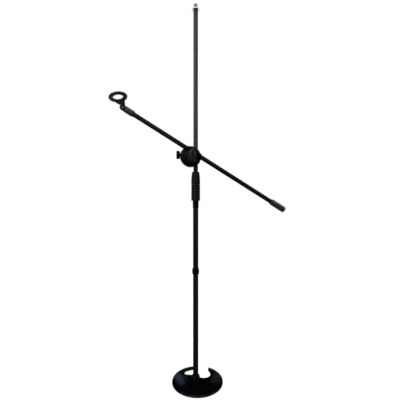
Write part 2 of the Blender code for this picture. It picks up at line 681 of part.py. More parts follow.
# Half of the cross clamp that holds the boom
def build_boom_clamp(swivel, stud_low):
    washer_low = REAR_DISC_FRONT + GAP
    stud_bore = SWIVEL_STUD_R + THREAD_GAP
    washer_top = washer_low + WASHER_T
    small = {"facets": SMALL_ROUND}
    tube("friction_washer", stud_bore, WASHER_R, washer_low, washer_top, swivel, FIBRE, **small)
    tilt = frame("boom_clamp_frame", swivel, turn=(0, 0, -BOOM_TILT))
    boom = frame("boom_frame", tilt, (0, BOOM_OFFSET, BOOM_STANDOFF), (0, -90, 0))

    back = washer_top + GAP
    face = BOOM_STANDOFF - CLAMP_SPLIT / 2
    rim_front = back + EDGE + WHEEL_RIM_T
    wheel_rings = [
        (WHEEL_FACE_R, face, 0),
        (WHEEL_FACE_R + WHEEL_BEVEL, face - EDGE, 0),
        (WHEEL_R - WHEEL_BEVEL, rim_front, WHEEL_RIB_DEPTH),
        (WHEEL_R, rim_front - WHEEL_BEVEL, WHEEL_RIB_DEPTH),
        (WHEEL_R, back + EDGE, WHEEL_RIB_DEPTH),
        (WHEEL_R - 1.5 * WHEEL_BEVEL, back, 0),
        (stud_bore, back, 0),
        (stud_bore, face, 0),
    ]
    wheel = fluted("boom_clamp_wheel", wheel_rings, WHEEL_RIBS, tilt, BLACK_NYLON)
    channel_r = BOOM_R + GAP + CHANNEL_WALL
    lean = math.degrees(math.asin(CLAMP_SPLIT / 2 / channel_r))
    groove = rod("boom_groove", BOOM_R + GAP, -2 * WHEEL_R, 2 * WHEEL_R, boom)
    trim_r = WHEEL_R - WHEEL_RIB_DEPTH - CHANNEL_INSET
    trim = rod("channel_trim", trim_r, 0, BOOM_STANDOFF + 2 * channel_r, tilt, facets=LARGE_ROUND)
    inner_half = arc((0, 0), channel_r, 90 + lean, 270 - lean, 12)
    wheel_channel = plate("wheel_channel", inner_half, -WHEEL_R, WHEEL_R, boom)
    combine(wheel_channel, trim, "INTERSECT")
    join(wheel, wheel_channel)
    cut(wheel, groove)

    back = BOOM_STANDOFF + CLAMP_SPLIT / 2
    crest = back + CAP_H
    dome = arc((0, 0), 1, 90, 0, 6)
    rise = CAP_H - CAP_RIM_T
    cap_profile = [(stud_bore, crest), (CAP_LAND_R, crest)]
    for x, y in dome[1:]:
        cap_profile.append((CAP_LAND_R + (CAP_R - CAP_LAND_R) * x, back + CAP_RIM_T + rise * y))
    cap_profile += [(CAP_R, back), (stud_bore, back)]
    cap = turned("boom_clamp_cap", cap_profile, tilt, BLACK_NYLON, hollow=True)
    outer_half = arc((0, 0), channel_r, -90 + lean, 90 - lean, 12)
    cap_channel = plate("cap_channel", outer_half, -WHEEL_R, WHEEL_R, boom)
    combine(cap_channel, trim, "INTERSECT")
    join(cap, cap_channel)
    cut(cap, groove)
    cut(cap, rod("cap_bolt_hole", stud_bore, back - PAST, crest + 2 * PAST, tilt, **small))

    build_clamp_knob(swivel, stud_low, crest)
    return boom


def build_clamp_knob(swivel, stud_low, crest):
    """Wing knob with its nut and washer, on the stud that holds both halves together."""
    washer_low = crest + GAP
    stud_bore = SWIVEL_STUD_R + THREAD_GAP
    knob_low = washer_low + KNOB_WASHER_T + GAP
    knob_frame = frame("clamp_knob_frame", swivel, (0, 0, knob_low))
    small = {"facets": SMALL_ROUND}
    washer = (washer_low - knob_low, washer_low - knob_low + KNOB_WASHER_T)
    tube("knob_washer", stud_bore, KNOB_WASHER_R, *washer, knob_frame, STEEL, **small)
    wing = (KNOB_SPAN, KNOB_WING_T, KNOB_WING_LOW, KNOB_CORNER)
    knob = wing_knob("clamp_knob", knob_frame, KNOB_HUB_R, KNOB_L, *wing)
    nut_hole = NUT_R + GAP
    cut(knob, rod("nut_pocket", nut_hole, -PAST, NUT_H + 2 * GAP, knob_frame, facets=6))
    cut(knob, rod("knob_stud_hole", stud_bore, 0, STUD_IN_KNOB + 2 * GAP, knob_frame, **small))
    nut = rod("clamp_nut", NUT_R, GAP, NUT_H, knob_frame, BRASS, facets=6)
    cut(nut, rod("nut_bore", stud_bore, -PAST, NUT_H + PAST, knob_frame, **small))
    stud_high = knob_low + STUD_IN_KNOB
    rod("swivel_stud", SWIVEL_STUD_R, stud_low, stud_high, swivel, STEEL, **small)


# Boom with its counterweight
def build_boom(boom):
    bore = BOOM_R - BOOM_WALL
    tube("boom_tube", bore, BOOM_R, -BOOM_REAR, BOOM_FRONT, boom, BLACK_TUBE)
    stud = (BOOM_R, BOOM_FLANGE_H, BOOM_THREAD_L)
    build_thread("boom_stud", boom, BOOM_FRONT, bore, *stud, STEEL, facets=SMALL_ROUND)
    weight = frame("weight_frame", boom, (0, 0, -BOOM_REAR))
    core_bore = BOOM_R + GAP
    core_r = core_bore + WEIGHT_CORE_WALL
    top = WEIGHT_L - WEIGHT_END_T
    full = top - WEIGHT_TAPER
    tube("counterweight_core", core_bore, core_r, 0, full - GAP, weight, STEEL, facets=KNOB_ROUND)
    sleeve_bore = core_r + GAP
    sleeve_r = sleeve_bore + WEIGHT_SLEEVE_WALL
    low = -WEIGHT_END_T
    cup = [(0, -GAP), (sleeve_bore, -GAP), (sleeve_bore, full), (core_bore, full), (core_bore, top)]
    cup += [(core_bore + WEIGHT_LIP, top), (sleeve_r, full)]
    pitch = (full - 2 * WEIGHT_PLAIN) / WEIGHT_RINGS
    for i in range(WEIGHT_RINGS):
        crest = full - WEIGHT_PLAIN - i * pitch
        cup += [(sleeve_r, crest), (sleeve_r - WEIGHT_RING_DEPTH, crest - pitch / 2)]
    cup += arc((sleeve_r - WEIGHT_END_R, low + WEIGHT_END_R), WEIGHT_END_R, 0, -90, 3) + [(0, low)]
    turned("counterweight_sleeve", cup, weight, BLACK_RUBBER, facets=KNOB_ROUND)
    rod("boom_end_plug", bore - GAP, GAP, END_PLUG_L, weight, BLACK_NYLON, facets=SMALL_ROUND)


# Adapter on the boom's thread, and the clip that tilts on it
def build_clip(boom):
    adapter = frame("adapter_frame", boom, (0, 0, BOOM_FRONT), (0, 0, CLIP_ROLL))
    low = BOOM_FLANGE_H + 2 * GAP
    high = low + ADAPTER_BODY_L
    tip = PIN_OUT + FORK_R
    above = tip + PAST
    body = [
        (0, above),
        (ADAPTER_R, above),
        (ADAPTER_R, low + ADAPTER_NECK_L),
        (ADAPTER_NECK_R, low),
        (0, low),
    ]
    piece = turned("clip_adapter", body, adapter, BLACK_NYLON)
    half_fork = FORK_W / 2
    past = ADAPTER_R + PAST
    side = [(FORK_R, high), (past, high - ADAPTER_SHOULDER), (past, low - PAST)]
    side += [(-past, low - PAST), (-past, high - ADAPTER_SHOULDER), (-FORK_R, high)]
    cheek = arc((0, PIN_OUT), FORK_R, 180, 0, 12)
    cheeks = plate("adapter_side", cheek + side, -past, past, adapter, axes="yz")
    combine(piece, cheeks, "INTERSECT")
    for sign in (-1, 1):
        flat = [(half_fork, -past), (past, -past), (past, past), (half_fork, past)]
        name = f"adapter_flat_{sign + 2}"
        cut(piece, plate(name, flat, high + EDGE, above + PAST, adapter, turn=(0, 0, 90 - 90 * sign)))
    fork_gap = TONGUE_W / 2 + GAP
    floor = PIN_OUT - TONGUE_R - 2 * GAP
    slot = [(-fork_gap, -past), (fork_gap, -past), (fork_gap, past), (-fork_gap, past)]
    cut(piece, plate("adapter_slot", slot, floor, above + PAST, adapter))
    insert_bore = THREAD_R + THREAD_GAP
    insert_r = insert_bore + INSERT_WALL
    cut(piece, rod("insert_hole", insert_r + GAP, -PAST, low + INSERT_L + GAP, adapter))
    pin = frame("pin_frame", adapter, (0, 0, PIN_OUT), (0, 90, 0))
    cut(piece, rod("pin_hole", PIN_R + THREAD_GAP, -past, past, pin, facets=SMALL_ROUND))
    tube("adapter_insert", insert_bore, insert_r, low, low + INSERT_L, adapter, BRASS, facets=SMALL_ROUND)

    head_low = half_fork + GAP
    head = [
        (0, head_low + PIN_HEAD_T),
        (PIN_HEAD_R / 2, head_low + PIN_HEAD_T - EDGE / 4),
        (PIN_HEAD_R, head_low + PIN_HEAD_T / 2),
        (PIN_HEAD_R, head_low),
        (PIN_R, head_low),
        (PIN_R, -half_fork - PIN_NUT_T - GAP),
        (0, -half_fork - PIN_NUT_T - GAP),
    ]
    turned("clip_pin", head, pin, CHROME, facets=SMALL_ROUND)
    nut_high = -half_fork - GAP
    nut = rod("pin_nut", PIN_NUT_R, nut_high - PIN_NUT_T, nut_high, pin, STEEL, facets=6)
    cut(nut, rod("pin_nut_bore", PIN_R + THREAD_GAP, -past, 0, pin, facets=SMALL_ROUND))
    build_ring(adapter)


def build_ring(adapter):
    """Microphone ring with its gusset and the tongue that the pin goes through."""
    clip = frame("clip_frame", adapter, (0, 0, PIN_OUT), (CLIP_TILT, 0, 0))
    mean_r = (RING_R + RING_HOLE_R) / 2
    half_w = (RING_R - RING_HOLE_R) / 2
    section = [(mean_r + half_w * x, RING_H / 2 * y) for x, y in arc((0, 0), 1, 90, -270, 10)[:-1]]
    where = {"location": (RING_FRONT, RING_RISE, RING_OUT), "turn": (-90, 0, RING_LEAN)}
    ring = turned("mic_clip", section, clip, BLACK_NYLON, facets=RING_ROUND, hollow=True, **where)
    half = TONGUE_W / 2
    neck_top = RING_RISE - RING_FRONT * math.tan(math.radians(RING_LEAN))
    gusset = arc((0, 0), TONGUE_R, 120, 270, 10) + [(neck_top, -NECK_RIGHT), (neck_top, NECK_LEFT)]
    gusset += [(neck_top - GUSSET_EDGE, NECK_LEFT), GUSSET_FOOT]
    tongue = plate("clip_gusset", gusset, -half, half, clip, axes="yz")
    join(ring, tongue)
    pin = frame("clip_pin_frame", clip, turn=(0, 90, 0))
    cut(ring, rod("clip_pin_hole", PIN_R + THREAD_GAP, -half - PAST, half + PAST, pin, facets=SMALL_ROUND))


build_base()
build_lower_pole()
build_grip()
build_mast()
swivel_frame, stud_foot = build_pole_clamp()
boom_axis = build_boom_clamp(swivel_frame, stud_foot)
build_boom(boom_axis)
build_clip(boom_axis)
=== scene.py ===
import math

import bmesh
import bpy
import numpy as np
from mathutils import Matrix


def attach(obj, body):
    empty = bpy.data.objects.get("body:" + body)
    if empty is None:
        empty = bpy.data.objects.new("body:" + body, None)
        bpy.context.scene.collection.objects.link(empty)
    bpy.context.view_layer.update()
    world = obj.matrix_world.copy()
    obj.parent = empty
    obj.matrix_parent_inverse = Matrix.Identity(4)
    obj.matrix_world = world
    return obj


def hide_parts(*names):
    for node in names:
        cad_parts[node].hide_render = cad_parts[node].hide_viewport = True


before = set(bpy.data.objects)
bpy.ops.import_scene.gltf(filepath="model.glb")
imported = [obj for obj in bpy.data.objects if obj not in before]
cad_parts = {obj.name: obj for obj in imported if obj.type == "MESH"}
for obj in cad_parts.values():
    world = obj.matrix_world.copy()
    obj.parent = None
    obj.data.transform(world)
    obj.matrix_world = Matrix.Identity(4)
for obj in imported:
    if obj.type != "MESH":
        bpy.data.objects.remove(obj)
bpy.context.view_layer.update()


# Studio. A level camera stands close, at about chest height, with a wide lens.
# The ground and the sweep behind the stand are pure white, under a pale ceiling on the camera's side.
# Soft boxes light it from the front left, both sides and above, and dim cards and panels add highlights.
EYE = (0.018, -1.239, 0.756)
FOCAL_PIXELS = 298.0
FRAME_PIXELS = 400.0
SENSOR_MM = 36.0
FLOOR_HALF = 20.0
ROOM_LIGHT = 0.25
PAPER_LEVEL, CEILING_LEVEL = 0.75, 0.60
NEAR_GLOW, FAR_GLOW = 0.84, 0.95


def to_linear(code):
    """A linear colour from an sRGB hex code: (c/12.92) when dark, else ((c+0.055)/1.055)^2.4."""
    srgb = np.array([int(code[i : i + 2], 16) for i in (1, 3, 5)]) / 255.0
    linear = np.where(srgb <= 0.04045, srgb / 12.92, ((srgb + 0.055) / 1.055) ** 2.4)
    return (*linear.tolist(), 1.0)


def feed(tree, node, inputs):
    """Sets a node's inputs, each to a value or to the socket that feeds it."""
    for key, value in inputs.items():
        if isinstance(value, bpy.types.NodeSocket):
            tree.links.new(value, node.inputs[key])
        else:
            node.inputs[key].default_value = value


def add(tree, kind, inputs, **settings):
    """One node with its settings. Its inputs are values, or the sockets that feed them."""
    node = tree.nodes.new(kind)
    for name, value in settings.items():
        setattr(node, name, value)
    feed(tree, node, inputs)
    return node


camera = bpy.data.objects.new("camera", bpy.data.cameras.new("camera"))
camera.location = EYE
camera.rotation_euler = (math.pi / 2, 0, 0)
camera.data.sensor_width = SENSOR_MM
camera.data.lens = FOCAL_PIXELS / FRAME_PIXELS * SENSOR_MM
bpy.context.scene.collection.objects.link(camera)
bpy.context.scene.camera = camera
bpy.context.scene.view_settings.view_transform = "Standard"


world = bpy.data.worlds.new("white_sweep")
bpy.context.scene.world = world
world.use_nodes = True
tree = world.node_tree
tree.nodes.clear()
path = add(tree, "ShaderNodeLightPath", {})
ray = add(tree, "ShaderNodeTexCoord", {}).outputs["Generated"]
toward = add(tree, "ShaderNodeSeparateXYZ", {0: ray})
# What a mirror sees: the lit paper behind the stand, low down, and the ceiling on the camera's side.
paper_back = {"Value": toward.outputs["Y"], "From Min": 0.10, "From Max": 0.70, "To Max": PAPER_LEVEL}
paper_back = add(tree, "ShaderNodeMapRange", paper_back, interpolation_type="SMOOTHSTEP")
paper_edge = {"Value": toward.outputs["Z"], "From Min": 0.30, "From Max": 0.08}
paper_edge = add(tree, "ShaderNodeMapRange", paper_edge, interpolation_type="SMOOTHSTEP")
ceiling_side = {"Value": toward.outputs["Y"], "From Min": 0.30, "From Max": -0.20, "To Max": CEILING_LEVEL}
ceiling_side = add(tree, "ShaderNodeMapRange", ceiling_side, interpolation_type="SMOOTHSTEP")
ceiling_edge = {"Value": toward.outputs["Z"], "From Min": 0.20, "From Max": 0.50}
ceiling_edge = add(tree, "ShaderNodeMapRange", ceiling_edge, interpolation_type="SMOOTHSTEP")
ceiling = {0: ceiling_side.outputs["Result"], 1: ceiling_edge.outputs["Result"]}
ceiling = add(tree, "ShaderNodeMath", ceiling, operation="MULTIPLY")
mirrored = {0: paper_back.outputs["Result"], 1: paper_edge.outputs["Result"], 2: ceiling.outputs[0]}
mirrored = add(tree, "ShaderNodeMath", mirrored, operation="MULTIPLY_ADD")
room = {"Factor": path.outputs["Is Glossy Ray"], 2: ROOM_LIGHT, 3: mirrored.outputs[0]}
room = add(tree, "ShaderNodeMix", room)
seen = {0: room.outputs[0], 1: path.outputs["Is Camera Ray"]}
seen = add(tree, "ShaderNodeMath", seen, operation="MAXIMUM")
sweep = add(tree, "ShaderNodeBackground", {"Color": to_linear("#ffffff"), "Strength": seen.outputs[0]})
add(tree, "ShaderNodeOutputWorld", {"Surface": sweep.outputs[0]})

corners = FLOOR_HALF * np.array([(-1, -1, 0), (1, -1, 0), (1, 1, 0), (-1, 1, 0)])
floor_mesh = bpy.data.meshes.new("floor")
floor_mesh.from_pydata(corners, [], [(0, 1, 2, 3)])
floor = bpy.data.objects.new("floor", floor_mesh)
bpy.context.scene.collection.objects.link(floor)
paper = bpy.data.materials.new("white_paper_sweep")
paper.use_nodes = True
tree = paper.node_tree
tree.nodes.clear()
path = add(tree, "ShaderNodeLightPath", {})
matt = add(tree, "ShaderNodeBsdfDiffuse", {"Color": to_linear("#808080")})
ground = add(tree, "ShaderNodeTexCoord", {}).outputs["Object"]
# Far away the lamps no longer reach the paper, so there its own glow makes up for them.
reach = add(tree, "ShaderNodeVectorMath", {0: ground}, operation="LENGTH").outputs["Value"]
white = {"Value": reach, "From Min": 0.4, "From Max": 4.0, "To Min": NEAR_GLOW, "To Max": FAR_GLOW}
white = add(tree, "ShaderNodeMapRange", white)
lit = {0: path.outputs["Is Camera Ray"], 1: white.outputs["Result"]}
lit = add(tree, "ShaderNodeMath", lit, operation="MULTIPLY")
# A mirror sees the lit paper only from well behind the stand.
depth = add(tree, "ShaderNodeSeparateXYZ", {0: ground}).outputs["Y"]
far_back = {"Value": depth, "From Min": 1.5, "From Max": 2.2}
far_back = add(tree, "ShaderNodeMapRange", far_back, interpolation_type="SMOOTHSTEP")
shown = {0: path.outputs["Is Glossy Ray"], 1: far_back.outputs["Result"], 2: lit.outputs[0]}
shown = add(tree, "ShaderNodeMath", shown, operation="MULTIPLY_ADD")
glow = add(tree, "ShaderNodeEmission", {"Strength": shown.outputs[0]})
both = add(tree, "ShaderNodeAddShader", {0: matt.outputs[0], 1: glow.outputs[0]})
add(tree, "ShaderNodeOutputMaterial", {"Surface": both.outputs[0]})
floor_mesh.materials.append(paper)


def soft_box(name, place, aim, width, height, watts, colour="#ffffff"):
    """A rectangular lamp that faces a point."""
    lamp = bpy.data.lights.new(name, "AREA")
    lamp.shape = "RECTANGLE"
    lamp.size, lamp.size_y, lamp.energy = width, height, watts
    lamp.color = to_linear(colour)[:3]
    holder = bpy.data.objects.new(name, lamp)
    holder.location = place
    ray = holder.location.copy()
    ray.xyz = np.subtract(aim, place)
    holder.rotation_euler = ray.to_track_quat("-Z", "Y").to_euler()
    bpy.context.scene.collection.objects.link(holder)


soft_box("key_box", (-1.4, -1.9, 2.4), (0, 0, 0.8), 0.6, 0.6, 38)
soft_box("left_box", (-2.2, -0.9, 1.9), (0, 0, 0.9), 1.4, 2.2, 26, "#eef6ff")
soft_box("right_box", (1.6, -0.1, 1.6), (0.2, 0, 0.8), 0.6, 0.6, 11)
soft_box("top_box", (0.1, 0.3, 3.2), (0, 0, 0), 1.6, 1.6, 44)
soft_box("front_card", (0.02, -1.95, 1.42), (-0.2, 0, 1.0), 0.4, 0.4, 4, "#e2e8ff")
soft_box("low_card", (-0.6, -1.65, 0.70), (-0.2, 0, 1.0), 0.4, 0.4, 2.6)
soft_box("left_panel", (-0.60, 2.4, 1.40), (0, 0, 0), 0.20, 0.95, 0.85, "#a9bfff")
soft_box("dim_panel", (-0.45, 2.4, 1.35), (0, 0, 0), 0.20, 0.55, 0.09, "#b0d4d0")
soft_box("right_panel", (0.60, 2.4, 1.20), (0, 0, 0), 0.30, 1.0, 0.25)


# Cast base. An iron casting, a shallow dome with a hub, cast with a slot through it so that
# bases stack on each other, and sprayed with a coarse black texture coat.
# The slot enters at the rear, widens beside the hub and runs round behind it to the left.
BASE_R = 0.105
BASE_CENTRE = np.array([0.0075, -0.0025])
FOOT_H = 0.003
RIM_H, CROWN_H = 0.0075, 0.0165
EDGE_R = 0.0035
SLOT_EDGE_R = 0.0018
INNER_R = 0.0865
HUB_GAP_R = 0.019
BAY_CENTRE, BAY_R = np.array([0.0295, 0.0295]), 0.0325
POLE = np.array([(0, 0, 0), (1, 0, 0), (0, 1, 0), (0, 0, 1)], float)
MERGE_WITHIN = 0.000002
SHARP_ANGLE = math.radians(42)


def skin(name, grid, caps):
    """A mesh over a grid of points. Each point is joined to the next in its row and its column.

    Each row runs on from its last point to its first, and the first and last rows may be filled.
    Points that fall together, as at a pole, are merged, and the faces are turned outwards.
    """
    rows, columns = grid.shape[:2]
    number = np.arange(rows * columns).reshape(rows, columns)
    across = np.roll(number, -1, axis=1)
    quads = np.stack([number[:-1], number[1:], across[1:], across[:-1]], axis=-1)
    faces = quads.reshape(-1, 4).tolist()
    if caps:
        faces += [number[0].tolist(), number[-1].tolist()]
    mesh = bpy.data.meshes.new(name)
    mesh.from_pydata(grid.reshape(-1, 3), [], faces)
    work = bmesh.new()
    work.from_mesh(mesh)
    bmesh.ops.remove_doubles(work, verts=work.verts, dist=MERGE_WITHIN)
    bmesh.ops.recalc_face_normals(work, faces=work.faces)
    work.to_mesh(mesh)
    work.free()
    mesh.shade_smooth()
    mesh.set_sharp_from_angle(angle=SHARP_ANGLE)
    return mesh


def fit(name, grid, material, body, node, caps=False):
    """Puts a piece with a finished skin on its body, in place of the solid that it stands for."""
    mesh = skin(name, grid, caps)
    mesh.materials.append(material)
    piece = bpy.data.objects.new(name, mesh)
    bpy.context.scene.collection.objects.link(piece)
    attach(piece, body)
    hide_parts(node)


def softened(corners, steps=4, closed=False):
    """A path whose corners (x, y, cut) are rounded.

    Each corner becomes a parabola from a point on one side of it to a point on the other, and cut is
    how far from the corner they lie, up to just under half of the side. Ends of an open path stay.
    """
    corners = np.array(corners, float)
    spot, reach = corners[:, :2], corners[:, 2:]
    before, after = np.roll(spot, 1, axis=0), np.roll(spot, -1, axis=0)
    to_before, to_after = before - spot, after - spot
    long_before = np.linalg.norm(to_before, axis=1, keepdims=True) + 1e-9
    long_after = np.linalg.norm(to_after, axis=1, keepdims=True) + 1e-9
    start = spot + to_before / long_before * np.minimum(reach, 0.49 * long_before)
    end = spot + to_after / long_after * np.minimum(reach, 0.49 * long_after)
    t = np.linspace(0, 1, steps + 1)[None, :, None]
    curve = (1 - t) ** 2 * start[:, None] + 2 * t * (1 - t) * spot[:, None] + t**2 * end[:, None]
    if not closed:
        curve[0], curve[-1] = spot[0], spot[-1]
    return curve.reshape(-1, 2)


def even(path, count):
    """The same path with its points at equal distances along it."""
    lengths = np.concatenate([[0], np.cumsum(np.linalg.norm(np.diff(path, axis=0), axis=1))])
    keep = np.concatenate([[True], np.diff(lengths) > 1e-9])
    where = np.linspace(0, lengths[-1], count)
    return np.stack([np.interp(where, lengths[keep], path[keep, i]) for i in range(2)], axis=1)


def circle(centre, radius, degrees):
    """Points on a circle at the given angles."""
    angle = np.radians(degrees)
    return np.asarray(centre) + radius * np.stack([np.cos(angle), np.sin(angle)], axis=-1)


def turned(profile, place=POLE, around=96, wave=None):
    """A surface of revolution: each (radius, height) of the profile goes once round the place's Z.

    A wave is a function of the angle, for every row of the profile, that is added to the radius.
    A place is an origin and three axes.
    """
    angle = np.linspace(0, math.tau, around, endpoint=False)[None, :]
    radius = profile[:, :1] + 0 * angle
    if wave is not None:
        radius = radius + wave(angle)
    height = profile[:, 1:] + 0 * angle
    local = np.stack([radius * np.cos(angle), radius * np.sin(angle), height], axis=-1)
    return place[0] + local @ place[1:]


def crowned(plan):
    """Height of the casting's top over a point: a paraboloid from the crown down to the rim."""
    out = np.linalg.norm(plan - BASE_CENTRE, axis=-1, keepdims=True) / (BASE_R - EDGE_R)
    return FOOT_H + CROWN_H - (CROWN_H - RIM_H) * np.minimum(out, 1) ** 2


slot_edge = np.concatenate(
    [
        circle(BASE_CENTRE, INNER_R, np.linspace(95, 124, 12)),
        softened(
            [
                (-0.0430, 0.0680, 0),
                (-0.0475, 0.0620, 0.006),
                (-0.0475, 0.0270, 0.008),
                (-0.0100, 0.0175, 0),
            ]
        ),
        circle((0, 0), HUB_GAP_R, np.linspace(112, 22, 14)),
        circle(BAY_CENTRE, BAY_R, np.linspace(-114, 0, 24)),
        softened(
            [
                (0.0620, 0.0310, 0),
                (0.0620, 0.0560, 0.008),
                (0.0575, 0.0660, 0.006),
                (0.0530, 0.0780, 0.005),
                (0.0548, 0.0880, 0),
            ]
        ),
    ]
)
ACROSS = 320
slot_edge = even(slot_edge, ACROSS)
smoothing = np.hanning(11)[1:-1]
smoothing = smoothing / smoothing.sum()
margin = len(smoothing) // 2
padded_edge = np.pad(slot_edge, ((margin, margin), (0, 0)), mode="edge")
smooth_edge = np.stack([np.convolve(padded_edge[:, i], smoothing, "valid") for i in range(2)], axis=1)
smooth_edge[0], smooth_edge[-1] = slot_edge[0], slot_edge[-1]
# Each stretch of the slot's edge is joined to the part of the rim that it faces, in degrees.
share = np.linspace(0, 1, ACROSS)
rim_angle = np.interp(
    share,
    [0.0, 0.12, 0.21, 0.29, 0.41, 0.50, 0.565, 0.62, 0.75, 0.83, 0.915, 1.0],
    [92.0, 126.0, 152.0, 178.0, 216.0, 255.0, 281.0, 300.0, 338.0, 368.0, 396.0, 421.0],
)
rim_edge = circle(BASE_CENTRE, BASE_R, rim_angle)
span = np.linalg.norm(rim_edge - smooth_edge, axis=1, keepdims=True)
inner_cut = np.minimum(SLOT_EDGE_R, 0.3 * span)
outer_cut = np.minimum(EDGE_R, 0.45 * span)
inward = (rim_edge - smooth_edge) / span
quarter = np.radians(np.linspace(0, 90, 6))
section = []
for rise in (0.0005, 0.30, 0.70):
    section.append(np.hstack([smooth_edge, FOOT_H + (crowned(smooth_edge) - FOOT_H - inner_cut) * rise]))
for a in quarter:
    plan = smooth_edge + inward * inner_cut * (1 - math.cos(a))
    section.append(np.hstack([plan, crowned(plan) - inner_cut * (1 - math.sin(a))]))
for t in np.linspace(0, 1, 16)[1:-1]:
    plan = smooth_edge + inward * (inner_cut + (span - inner_cut - outer_cut) * t)
    section.append(np.hstack([plan, crowned(plan)]))
for a in quarter:
    plan = rim_edge - inward * outer_cut * (1 - math.sin(a))
    section.append(np.hstack([plan, crowned(plan) - outer_cut * (1 - math.cos(a))]))
for cut_share, rise in [(0.0, 0.0014), (0.3, 0.0)]:
    plan = rim_edge - inward * outer_cut * cut_share
    section.append(np.hstack([plan, np.full((ACROSS, 1), FOOT_H + rise)]))
casting_grid = np.stack(section, axis=1)


def new_material(name):
    """A material with its tree, its shader and the Object coordinates that its patterns follow."""
    material = bpy.data.materials.new(name)
    material.use_nodes = True
    tree = material.node_tree
    where = add(tree, "ShaderNodeTexCoord", {}).outputs["Object"]
    return material, tree, tree.nodes["Principled BSDF"], where


texture_coat, tree, paint, where = new_material("texture_coat_on_cast_iron")
# Beads of the texture coat, about 1.6 mm apart, over a slow unevenness of the spraying.
beads = add(tree, "ShaderNodeTexVoronoi", {"Vector": where, "Scale": 1 / 0.0016}, feature="SMOOTH_F1")
spray = add(tree, "ShaderNodeTexNoise", {"Vector": where, "Scale": 1 / 0.030, "Detail": 3.0})
tones = {"Factor": spray.outputs["Fac"], "A": to_linear("#010102"), "B": to_linear("#040507")}
tone = add(tree, "ShaderNodeMix", tones, data_type="RGBA")
sheen = {"Value": beads.outputs["Distance"], "From Max": 0.8, "To Min": 0.09, "To Max": 0.14}
sheen = add(tree, "ShaderNodeMapRange", sheen)
relief = {"Height": beads.outputs["Distance"], "Strength": 0.08, "Distance": 0.0002}
relief = add(tree, "ShaderNodeBump", relief, invert=True)
feed(tree, paint, {"Base Color": tone.outputs["Result"], "Roughness": sheen.outputs["Result"]})
feed(tree, paint, {"Normal": relief.outputs["Normal"], "Specular IOR Level": 0.10})

fit("base_casting_dressed", casting_grid, texture_coat, "base", "base_casting", caps=True)

HUB_R, HUB_TOP, HUB_BORE, HUB_DEPTH = 0.0155, 0.025, 0.0070, 0.004
CROWN_TOP = FOOT_H + CROWN_H
hub_profile = softened(
    [
        (HUB_BORE, HUB_TOP - HUB_DEPTH, 0),
        (HUB_BORE, HUB_TOP, 0.0008),
        (HUB_R, HUB_TOP, 0.0016),
        (HUB_R, CROWN_TOP, 0.0032),
        (HUB_GAP_R - 0.0003, CROWN_TOP - 0.0006, 0.0004),
        (HUB_GAP_R - 0.0005, CROWN_TOP - HUB_DEPTH, 0),
    ],
    steps=6,
)
hub_inside = [(HUB_BORE, CROWN_TOP - HUB_DEPTH), (HUB_BORE, HUB_TOP - HUB_DEPTH)]
hub_grid = turned(np.vstack([hub_profile, hub_inside]))
fit("base_hub", hub_grid, texture_coat, "base", "base_casting")


# Feet. Five moulded rubber buttons under the base, one below the hub and four below the rim.
# Each is pressed into a cored recess, so it shows as a low puck with a rounded edge and a dished face.
FOOT_CIRCLE_R = 0.0945
HUB_FOOT_R, RIM_FOOT_R = 0.012, 0.008
foot_spots = {"hub_foot": (HUB_FOOT_R, 0, 0)}
for foot_number, foot_angle in enumerate((35, 140, 220, 320), 1):
    foot_spot = circle(BASE_CENTRE, FOOT_CIRCLE_R, foot_angle)
    foot_spots[f"rim_foot_{foot_number}"] = (RIM_FOOT_R, *foot_spot)


def drift(tree, shader, share, tones, roughness):
    """Lets a shader's tone and roughness run from a first value to a second with a pattern's share."""
    tones = {"Factor": share, "A": to_linear(tones[0]), "B": to_linear(tones[1])}
    tone = add(tree, "ShaderNodeMix", tones, data_type="RGBA")
    gloss = {"Value": share, "To Min": roughness[0], "To Max": roughness[1]}
    gloss = add(tree, "ShaderNodeMapRange", gloss)
    feed(tree, shader, {"Base Color": tone.outputs["Result"], "Roughness": gloss.outputs["Result"]})


rubber, tree, soft, where = new_material("moulded_black_rubber")
# Rubber from a spark-eroded mould: a grain of about 0.5 mm, with a bloom that greys it in patches.
grain = add(tree, "ShaderNodeTexNoise", {"Vector": where, "Scale": 1 / 0.0005, "Detail": 2.0})
bloom = add(tree, "ShaderNodeTexNoise", {"Vector": where, "Scale": 1 / 0.018, "Detail": 4.0})
drift(tree, soft, bloom.outputs["Fac"], ("#04080c", "#0d141a"), (0.52, 0.74))
relief = add(tree, "ShaderNodeBump", {"Height": grain.outputs["Fac"], "Strength": 0.35, "Distance": 0.00012})
feed(tree, soft, {"Normal": relief.outputs["Normal"], "Specular IOR Level": 0.11})

for foot_name, (foot_r, foot_x, foot_y) in foot_spots.items():
    button = softened(
        [
            (0, FOOT_H - 0.0002, 0),
            (foot_r, FOOT_H - 0.0002, 0.0002),
            (foot_r, 0.0012, 0.0006),
            (foot_r - 0.0012, 0, 0.0005),
            (foot_r * 0.55, 0, 0.0004),
            (foot_r * 0.50, 0.0006, 0.0004),
            (0, 0.0006, 0),
        ]
    )
    spot = POLE.copy()
    spot[0] = (foot_x, foot_y, 0)
    fit(f"{foot_name}_button", turned(button, spot, 48), rubber, "base", foot_name)


# Lower pole. Two lengths of welded steel tube in smooth black powder coat, joined by a moulded sleeve.
# The bottom length screws onto the stud in the hub, against the turned plug in its foot, and stands on a
# blackened washer as wide as the hub.
LOWER_R, LOWER_WALL = 0.011, 0.001
WASHER_LOW, WASHER_TOP = 0.0253, 0.0268
WASHER_R, WASHER_BORE = 0.017, 0.0063
COLLAR_Z, COLLAR_HALF = 0.461, 0.012
LOWER_TOP = 0.801
SLIP, TUBE_GAP = 0.0003, 0.0002


def looped(path):
    """The same path with its first point again at its end."""
    return np.vstack([path, path[:1]])


